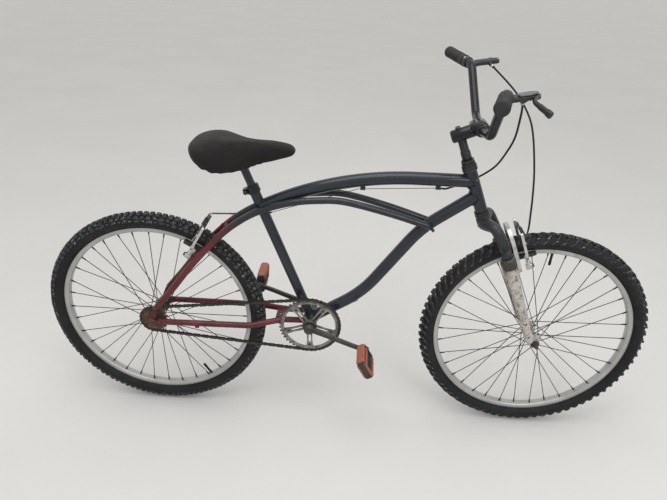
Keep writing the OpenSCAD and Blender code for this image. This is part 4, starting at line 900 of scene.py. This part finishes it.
def settle(piece, voxel, pressure, cap):
    """Remesh, inflate as cloth for 20 frames, cap the motion and keep the result."""
    view = bpy.context.view_layer
    view.objects.active = piece
    remesh = piece.modifiers.new("remesh", "REMESH")
    remesh.mode, remesh.voxel_size, remesh.use_smooth_shade = "VOXEL", voxel, True
    smooth = piece.modifiers.new("smooth", "SMOOTH")
    smooth.factor, smooth.iterations = 0.5, 6
    depsgraph = bpy.context.evaluated_depsgraph_get()
    mesh = bpy.data.meshes.new_from_object(piece.evaluated_get(depsgraph))
    piece.modifiers.clear()
    piece.data = mesh
    start = [v.co.copy() for v in mesh.vertices]
    cloth = piece.modifiers.new("cloth", "CLOTH")
    cloth.settings.use_pressure = True
    cloth.settings.uniform_pressure_force = pressure
    cloth.settings.effector_weights.gravity = 0
    for number in range(1, 21):
        bpy.context.scene.frame_set(number)
    depsgraph = bpy.context.evaluated_depsgraph_get()
    blown = bpy.data.meshes.new_from_object(piece.evaluated_get(depsgraph))
    piece.modifiers.clear()
    piece.data = blown
    for v, before in zip(blown.vertices, start):
        move = v.co - before
        if move.length > cap:
            v.co = before + move * (cap / move.length)
    bpy.context.scene.frame_set(1)
    soft = piece.modifiers.new("soft", "SUBSURF")
    soft.levels = soft.render_levels = 1
    for polygon in piece.data.polygons:
        polygon.use_smooth = True


saddle()


# Frame tubes that follow the photograph, with their weld beads
DOWN_ROUTE = [(STAY_L, 0, BB_RISE), (613, 0, 107), (765, 0, 326), (900, 0, 428)]
DOWN_BEND = 330


def down_tube():
    piece = Piece()
    route = bent(DOWN_ROUTE, DOWN_BEND, 10)
    first, last = (route[1] - route[0]).normalized(), (route[-1] - route[-2]).normalized()
    side = Vector((0, 1, 0))
    rings = []
    for i, p in enumerate(route[1:-1], 1):
        h = (route[i + 1] - route[i - 1]).normalized()
        rings.append([p + DOWN_TUBE_R * (math.cos(a) * side + math.sin(a) * h.cross(side)) for a in arc(24)])
    foot = mitre(BB, -first, DOWN_TUBE_R, BB, side, SHELL_R)
    head = mitre(route[-1], last, DOWN_TUBE_R, HEAD_FOOT, HEAD_DIR, HEAD_TUBE_R)
    rings = [[foot[-k % 24] for k in range(24)]] + rings + [head]
    piece.rings(rings, REAR, 0, True, caps=False)
    return piece.make("down_tube_steel", ["frame_paint"], "frame", ["down_tube"])


def welds():
    piece = Piece()
    y_axis = Vector((0, 1, 0))
    route = bent(DOWN_ROUTE, DOWN_BEND, 10)
    top = HEAD_FOOT + HEAD_DIR * ((TOP_TUBE_Z - HEAD_FOOT.z) / HEAD_DIR.z)
    piece.bead(top, (1, 0, 0), TOP_TUBE_R, HEAD_FOOT, HEAD_DIR, HEAD_TUBE_R, REAR)
    piece.bead(route[-1], route[-1] - route[-2], DOWN_TUBE_R, HEAD_FOOT, HEAD_DIR, HEAD_TUBE_R, REAR)
    piece.bead(BB, route[0] - route[1], DOWN_TUBE_R, BB, y_axis, SHELL_R, REAR)
    piece.bead(BB, -SEAT_DIR, SEAT_TUBE_R, BB, y_axis, SHELL_R, REAR)
    return piece.make("weld_beads", ["weld"], "frame")


# Twin tubes: [share of the way, height as a share of the highest point]
TWIN_TABLE = [
    (0, 0.124), (0.18, 0.294), (0.37, 0.485), (0.6, 0.682), (0.79, 0.808), (1, 0.903),
    (1.18, 0.973), (1.35, 1), (1.5, 0.998), (1.75, 0.93), (2, 0.841),
]
TWIN_TOP_Z, TWIN_R, TWIN_LOW_X, TWIN_SEAT_X, TWIN_FRONT_X = 402.0, 9.5, 16.0, 327.0, 789.0
TWIN_END_Y, TWIN_SEAT_Y, TWIN_HEAD_Y = 61.0, 27.3, 20.0


def twin_point(share, height, side):
    x = TWIN_LOW_X + share * (TWIN_SEAT_X - TWIN_LOW_X)
    if share >= 1:
        x = TWIN_SEAT_X + (share - 1) * (TWIN_FRONT_X - TWIN_SEAT_X)
    if share < 0.3:
        y = TWIN_END_Y - 12 * share
    elif share < 1:
        t = (share - 0.3) / 0.7
        y = TWIN_END_Y - 3.6 - (TWIN_END_Y - 3.6 - TWIN_SEAT_Y) * (1 - (1 - t) ** 2)
    else:
        y = TWIN_SEAT_Y + (TWIN_HEAD_Y - TWIN_SEAT_Y) * max(0.0, share - 1.6) / 0.4
    return x, side * y, height * TWIN_TOP_Z


def twin_tube(name, side):
    piece = Piece()
    route = curve([twin_point(share, height, side) for share, height in TWIN_TABLE], 6)
    piece.tube(route, TWIN_R, REAR, 20)
    a = math.radians(REAR_BRAKE_A)
    stud, away = REAR_PIVOT + Vector((0, side * PIVOT_Y, 0)), Vector((math.sin(a), 0, -math.cos(a)))
    piece.rod(stud + 24 * away, stud + 0.3 * away, 8, REAR, 20)
    return piece.make(name, ["twin_paint"], "frame", [name.replace("stay_tube", "twin_tube")])


down_tube()
welds()
twin_tube("stay_tube_right", -1)
twin_tube("stay_tube_left", 1)


# Fork: round shoulders that bend down to the legs
def fork():
    crown = Piece()
    crown.lathe([(17.0, 387.5), (20.0, 390.0), (20.0, 411.0), (18.6, 414.0), (17.4, 419.0)], STEER, 40, 0)
    for side in (-1, 1):
        route = [Vector((0, side * y, 398)) for y in (2, 12)] + bent(
            [(4, side * 22, 398), (LEG_X - 9, side * LEG_Y, 399), (LEG_X, side * LEG_Y, 332)], 22, 10)
        crown.tube(route, [14.8 + 5.0 * max(0.0, 1 - abs(p.y) / 48) for p in route], STEER, 28, 0)
    crown.make("fork_shoulders", ["fork_black"], "steering", ["fork_crown"])


LEG_SPLIT, CROWN_FOOT = 275.0, 338.0


def fork_leg(name, side):
    """White lower leg with its dropout and brake boss, dark collar and upper tube."""
    piece = Piece()
    place = STEER @ shift(LEG_X, side * LEG_Y, 0)
    piece.lathe([(5.0, 13.5), (9.5, 16.0), (11.6, 21.0), (12.3, 30.0), (16.0, 240.0), (16.2, LEG_SPLIT)], place, 36, 0)
    piece.lathe([(16.4, LEG_SPLIT - 1.5), (19.4, LEG_SPLIT), (19.8, LEG_SPLIT + 3), (19.2, LEG_SPLIT + 23),
                 (18.4, LEG_SPLIT + 28), (14.2, LEG_SPLIT + 30)], place, 36, 1)
    piece.lathe([(14.0, LEG_SPLIT + 20), (14.0, CROWN_FOOT)], place, 32, 2)
    slot = [(32, -10), (37.8, -10), (37.8, 0), (39.6, 4), (43, 5.3), (46.4, 4), (48.2, 0), (48.2, -10), (54, -10),
            (55, 6), (41, 36), (21, 38), (22, 12)]
    plate = place @ shift(-LEG_X, -side * LEG_Y, 0) @ SIDEWAYS
    low = 50.0 if side > 0 else -56.0
    piece.prism(slot, low, low + 6, plate, 0, False)
    here = STEER
    piece.rod((LEG_X + 4, side * (LEG_Y - 6), FRONT_PIVOT_Z), (LEG_X + 26, side * PIVOT_Y, FRONT_PIVOT_Z), 9.2, here, 24, 0, 1.5)
    return piece.make(name, ["fork_white", "collar", "fork_black"], "steering",
                      [name.replace("slider", "fork_leg")])


fork_leg("slider_right", -1)
fork_leg("slider_left", 1)


def front_washers():
    piece = Piece()
    for side in (-1, 1):
        piece.lathe([(8.4, 0), (12.4, 0.2), (12.7, 1.0), (11.9, 2.2), (8.4, 2.4)],
                    STEER @ shift(FORK_OFFSET, side * 56.1, 0) @ Matrix.Rotation(-side * math.pi / 2, 4, "X"), 28, 0)
    return piece.make("front_axle_washers", ["collar"], "steering")


front_washers()


def stem():
    piece = Piece()
    piece.rod((-24, 0, STEM_Z), (STEM_REACH - 6, 0, STEM_Z), 16.5, STEER, 40, 0, 4.0)
    piece.rod((0, 0, STEM_Z - 90), (0, 0, STEM_Z - 10), 11.0, STEER, 32, 3)
    piece.lathe([(11.2, 583.8), (12.6, 584.4), (12.6, 605.5), (11.2, 607.0)], STEER, 32, 3)
    piece.rod((STEM_REACH, -26, STEM_Z), (STEM_REACH, 26, STEM_Z), 18.6, STEER, 36, 0, 3.0)
    piece.rod((STEM_REACH - 15, -19, STEM_Z + 11), (STEM_REACH - 15, 19, STEM_Z + 11), 9.5, STEER, 28, 0, 2.5)
    piece.rod((STEM_REACH, -27.6, STEM_Z), (STEM_REACH, 27.6, STEM_Z), 12.6, STEER, 36, 2, 0.6)
    piece.bolt((-2, 0, STEM_Z + 15.5), (0, 0, 1), 6.4, 6.5, STEER, 1)
    for y in (-17, 17):
        piece.bolt((STEM_REACH + 6, y, STEM_Z - 16.8), (0.25, 0, -1), 4.2, 5.0, STEER, 1)
    piece.rod((STEM_REACH + 18.0, -23, STEM_Z - 3), (STEM_REACH + 18.0, 23, STEM_Z - 3), 1.4, STEER, 8, 2)
    return piece.make("stem_forging", ["bar_paint", "dark_steel", "black_metal", "headset_metal"], "steering",
                      ["stem"])


fork()
stem()


# Cable from the right lever to the first stop under the top tube
CABLE_POINTS = [
    (126, -196, 738), (124, -165, 707), (110, -108, 641), (91, -68, 598),
    (63, -23, 553), (30, 16, 524), (-6, 29, 513), (-42, 19, 515),
]
CABLE_STOP = Vector((WHEELBASE - 324, -6, TOP_TUBE_Z - TOP_TUBE_R - 5))


def steering_cable():
    piece = Piece()
    ends = [STEER.inverted() @ REAR @ (CABLE_STOP + Vector((d, 0, 0))) for d in (20, 13, 7.9)]
    piece.tube(curve(CABLE_POINTS + ends, 8), 2.5, STEER, 12)
    made = piece.make("cable_housing", ["housing"], None)
    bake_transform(made)
    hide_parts("steering_cable")
    return made


steering_cable()


# Rim brakes: pads, bolts, springs, and the ribbed boot round the wire between the arms
BRAKE_ARM_L, ARM_BEND = 102.0, 6.0
PAD_UP = 275.0 - PIVOT_R
NOODLE_X, NOODLE_Z = 14.7, BRAKE_ARM_L - 8


def brake_fittings(name, body, place, boot_side):
    piece = Piece()
    for side in (-1, 1):
        arm = place @ shift(0, side * PIVOT_Y, 0)
        if side < 0:
            arm = arm @ MIRROR_Y
        pad = [(-27, PAD_UP - 4.5), (-24, PAD_UP - 5.6), (34, PAD_UP - 5.6), (37, PAD_UP - 4.5), (37, PAD_UP + 4.5),
               (34, PAD_UP + 5.6), (-24, PAD_UP + 5.6), (-27, PAD_UP + 4.5)]
        piece.prism(pad, -26.2, -16.6, arm @ SIDEWAYS, 0, False, 0.8)
        piece.bolt((8, 14.2, PAD_UP), (0, 1, 0), 4.6, 4.5, arm, 1)
        piece.rod((8, -17, PAD_UP), (8, -9, PAD_UP), 6.5, arm, 20, 1)
        piece.bolt((16.2, 0, 0), (1, 0, 0), 5.2, 5.0, arm, 2)
        piece.tube(curve([(3, 9.5, -4), (1.5, 12, 12), (2.5, 13, 34), (7, 11.5, 52)], 5), 1.0, arm, 8, 1)
        piece.bolt((12.2, ARM_BEND, BRAKE_ARM_L - 26), (1, 0, 0), 3.2, 2.6, arm, 1)
    boot = []
    for k in range(11):
        boot += [(2.9, 4.0 * k), (4.7, 4.0 * k + 1.6), (4.7, 4.0 * k + 2.4)]
    turn = Vector((0, -boot_side, 0)).to_track_quat("Z", "X").to_matrix().to_4x4()
    piece.lathe(boot + [(2.9, 44.0)], place @ shift(NOODLE_X, boot_side * 33, NOODLE_Z) @ turn, 20, 0)
    piece.bolt((12.4, -boot_side * (PIVOT_Y + ARM_BEND), NOODLE_Z - 9), (1, 0, 0), 4.6, 5.5, place, 2)
    piece.tube(curve([(14.5, -boot_side * 46, NOODLE_Z - 4), (15.5, -boot_side * 47, NOODLE_Z - 22),
                      (18, -boot_side * 52, NOODLE_Z - 38)], 5), 0.9, place, 8, 1)
    return piece.make(name, ["brake_pad", "bright_metal", "rusty_steel"], body)


brake_fittings("front_brake_fittings", "steering", FRONT_BRAKE, -1)
brake_fittings("rear_brake_fittings", "frame", REAR_BRAKE, 1)


# Levers: clamp band, flat body, barrel adjuster and blade; the right one has a cover plate
LEVER_BODY = [(86, 211, 763), (108, 213, 759), (134, 213, 753), (160, 212, 747)]
LEVER_BLADE = [(156, 214, 748), (141, 245, 750), (143, 275, 745), (150, 296, 736), (153, 306, 731)]


def lever(name, side):
    piece = Piece()

    def mirrored(points):
        return [Vector((x, side * y, z)) for x, y, z in points]

    piece.rod(bar_point(side, GRIP_L + 3.5), bar_point(side, GRIP_L + 17), 14.8, STEER, 32, 0, 1.0)
    start = bar_point(side, GRIP_L + 10)
    piece.tube(curve([start] + mirrored(LEVER_BODY), 5), [10.5] * 5 + [9.0] * 5 + [8.6] * 5 + [8.0] * 5 + [6.5],
               STEER, 16, 0, True, 0.72)
    piece.tube(curve(mirrored(LEVER_BLADE), 5), [6.5] * 5 + [5.2] * 5 + [6.2] * 5 + [7.6] * 5 + [6.0],
               STEER, 14, 0, True, 0.62)
    first = Vector((126, -196, 738)) if side < 0 else Vector((140, 200, 738))
    after = Vector((124, -165, 707)) if side < 0 else Vector((168, 120, 678))
    d = (after - first).normalized()
    root = mirrored([LEVER_BODY[2]])[0] + Vector((-4 if side < 0 else 0, 0, -3))
    piece.tube([root, first - 10 * d, first - 7 * d], [6.5, 5.5, 5.0], STEER, 14, 0)
    piece.rod(first - 8 * d, first - 0.5 * d, 4.8, STEER, 20, 1, 0.6)
    piece.rod(first - 1.5 * d, first + 2.5 * d, 3.4, STEER, 16, 0)
    pivot = mirrored([LEVER_BODY[3]])[0]
    piece.bolt(pivot + Vector((-2, 0, 5.0)), (0.1, 0, 1), 3.4, 2.4, STEER, 1)
    piece.bolt(start + Vector((-4, 0, 13.6)), (-0.2, 0, 1), 3.2, 2.6, STEER, 1)
    if side < 0:
        plate = [(-14, -12), (10, -14), (22, -8), (25, 0), (22, 8), (10, 12), (-14, 10), (-19, 0)]
        piece.prism(plate, 0, 3.2, STEER @ shift(134, -213, 759) @ turn_y(12), 2, False, 0.9)
    return piece.make(name, ["lever_plastic", "bright_metal", "plate_grey"], "steering",
                      [name.replace("brake_lever", "lever")])


lever("brake_lever_right", -1)
lever("brake_lever_left", 1)


# Saddle rails with their clamp, inside the hollow of the saddle
def rails():
    piece = Piece()
    post_end = BB + 502.0 * SEAT_DIR
    rail_z = post_end.z + 10
    for side in (-1, 1):
        piece.tube(curve([(RIDER_X - 58, side * 34, rail_z + 8), (RIDER_X - 40, side * 27, rail_z + 1), (RIDER_X, side * 21, rail_z),
                          (RIDER_X + 50, side * 20, rail_z), (RIDER_X + 84, side * 14, rail_z + 3),
                          (RIDER_X + 100, side * 9, rail_z + 9)], 5), 3.5, REAR, 12)
    piece.rod((post_end.x + 2, -27, rail_z), (post_end.x + 2, 27, rail_z), 8.5, REAR, 24, 0, 1.2)
    piece.rod(post_end - 5 * SEAT_DIR, post_end + 4 * SEAT_DIR, 14.5, REAR, 28, 0, 1.2)
    return piece.make("rail_wires", ["dark_steel"], "frame", ["saddle_rails"])


rails()


# Rings on the headset cups, and the bolts of the seat clamp
def frame_fittings():
    piece = Piece()
    for low in (419.5, 430.2, 554.0, 564.6):
        piece.lathe([(19.4, low), (19.8, low + 0.3), (19.8, low + 1.2), (19.4, low + 1.5)], STEER, 40, 0)
    clamp = Vector((-SEAT_TUBE_R - 6.5, 0, SEAT_TUBE_L - 12))
    piece.bolt(clamp + Vector((0, -14, 0)), (0, -1, 0), 4.6, 4.8, SEAT, 0)
    piece.bolt(clamp + Vector((0, 14, 0)), (0, 1, 0), 5.0, 4.2, SEAT, 0, False)
    for side in (-1, 1):
        piece.lathe([(8.7, 0), (12.6, 0.2), (12.8, 1.0), (12.0, 1.9), (8.7, 2.0)],
                    REAR @ shift(0, side * 64.2, 0) @ Matrix.Rotation(-side * math.pi / 2, 4, "X"), 28, 1)
    piece.rod((590, -7, 78), (602, -7, 86), 3.2, REAR, 14, 2, 0.8)
    piece.rod((128, -63, -6), (140, -63, -6), 3.4, REAR, 14, 3, 0.8)
    piece.rod((790, -4, 330), (799, -4, 318), 4.4, REAR, 16, 0, 1.0)
    return piece.make("frame_fittings", ["crank_metal", "rusty_steel", "frame_paint", "stay_paint"], "frame")


frame_fittings()


# Floor and light
def floor():
    mesh = bpy.data.meshes.new("floor")
    mesh.from_pydata([(-40, -40, FLOOR_Z), (40, -40, FLOOR_Z), (40, 40, FLOOR_Z), (-40, 40, FLOOR_Z)], [], [[0, 1, 2, 3]])
    made = bpy.data.objects.new("floor", mesh)
    bpy.context.scene.collection.objects.link(made)
    n = Nodes("pale_floor")
    colour = n.blend(n.span(n.noise(1.4, 5), 0.35, 0.65), (0.73, 0.722, 0.71), (0.70, 0.693, 0.683))
    n.link(colour, n.shader.inputs["Base Color"])
    n.shader.inputs["Roughness"].default_value = 0.55
    mesh.materials.append(n.material)


def lamp(name, at, target, size, power, colour=(1, 1, 1)):
    data = bpy.data.lights.new(name, "AREA")
    data.shape, data.size, data.energy, data.color = "DISK", size, power, colour
    made = bpy.data.objects.new(name, data)
    made.location = at
    made.rotation_euler = (Vector(target) - Vector(at)).to_track_quat("-Z", "Y").to_euler()
    bpy.context.scene.collection.objects.link(made)


def sky():
    world = bpy.data.worlds.new("world")
    bpy.context.scene.world = world
    world.use_nodes = True
    tree = world.node_tree
    tree.nodes.clear()
    path = tree.nodes.new("ShaderNodeLightPath")
    light, seen = tree.nodes.new("ShaderNodeBackground"), tree.nodes.new("ShaderNodeBackground")
    light.inputs["Color"].default_value, light.inputs["Strength"].default_value = (1.0, 0.985, 0.965, 1), 0.70
    seen.inputs["Color"].default_value, seen.inputs["Strength"].default_value = (0.80, 0.79, 0.775, 1), 1.0
    flags = [path.outputs[k] for k in ("Is Camera Ray", "Is Glossy Ray", "Is Transmission Ray")]
    total = flags[0]
    for flag in flags[1:]:
        add = tree.nodes.new("ShaderNodeMath")
        add.operation, add.use_clamp = "ADD", True
        tree.links.new(total, add.inputs[0])
        tree.links.new(flag, add.inputs[1])
        total = add.outputs[0]
    mix = tree.nodes.new("ShaderNodeMixShader")
    tree.links.new(total, mix.inputs[0])
    tree.links.new(light.outputs[0], mix.inputs[1])
    tree.links.new(seen.outputs[0], mix.inputs[2])
    output = tree.nodes.new("ShaderNodeOutputWorld")
    tree.links.new(mix.outputs[0], output.inputs["Surface"])


floor()
sky()
lamp("ceiling", (0.2, -0.6, 2.6), (0.3, 0, -0.4), 2.6, 42)
lamp("front", (1.8, -2.4, 1.5), (0.3, 0, -0.3), 1.6, 22)
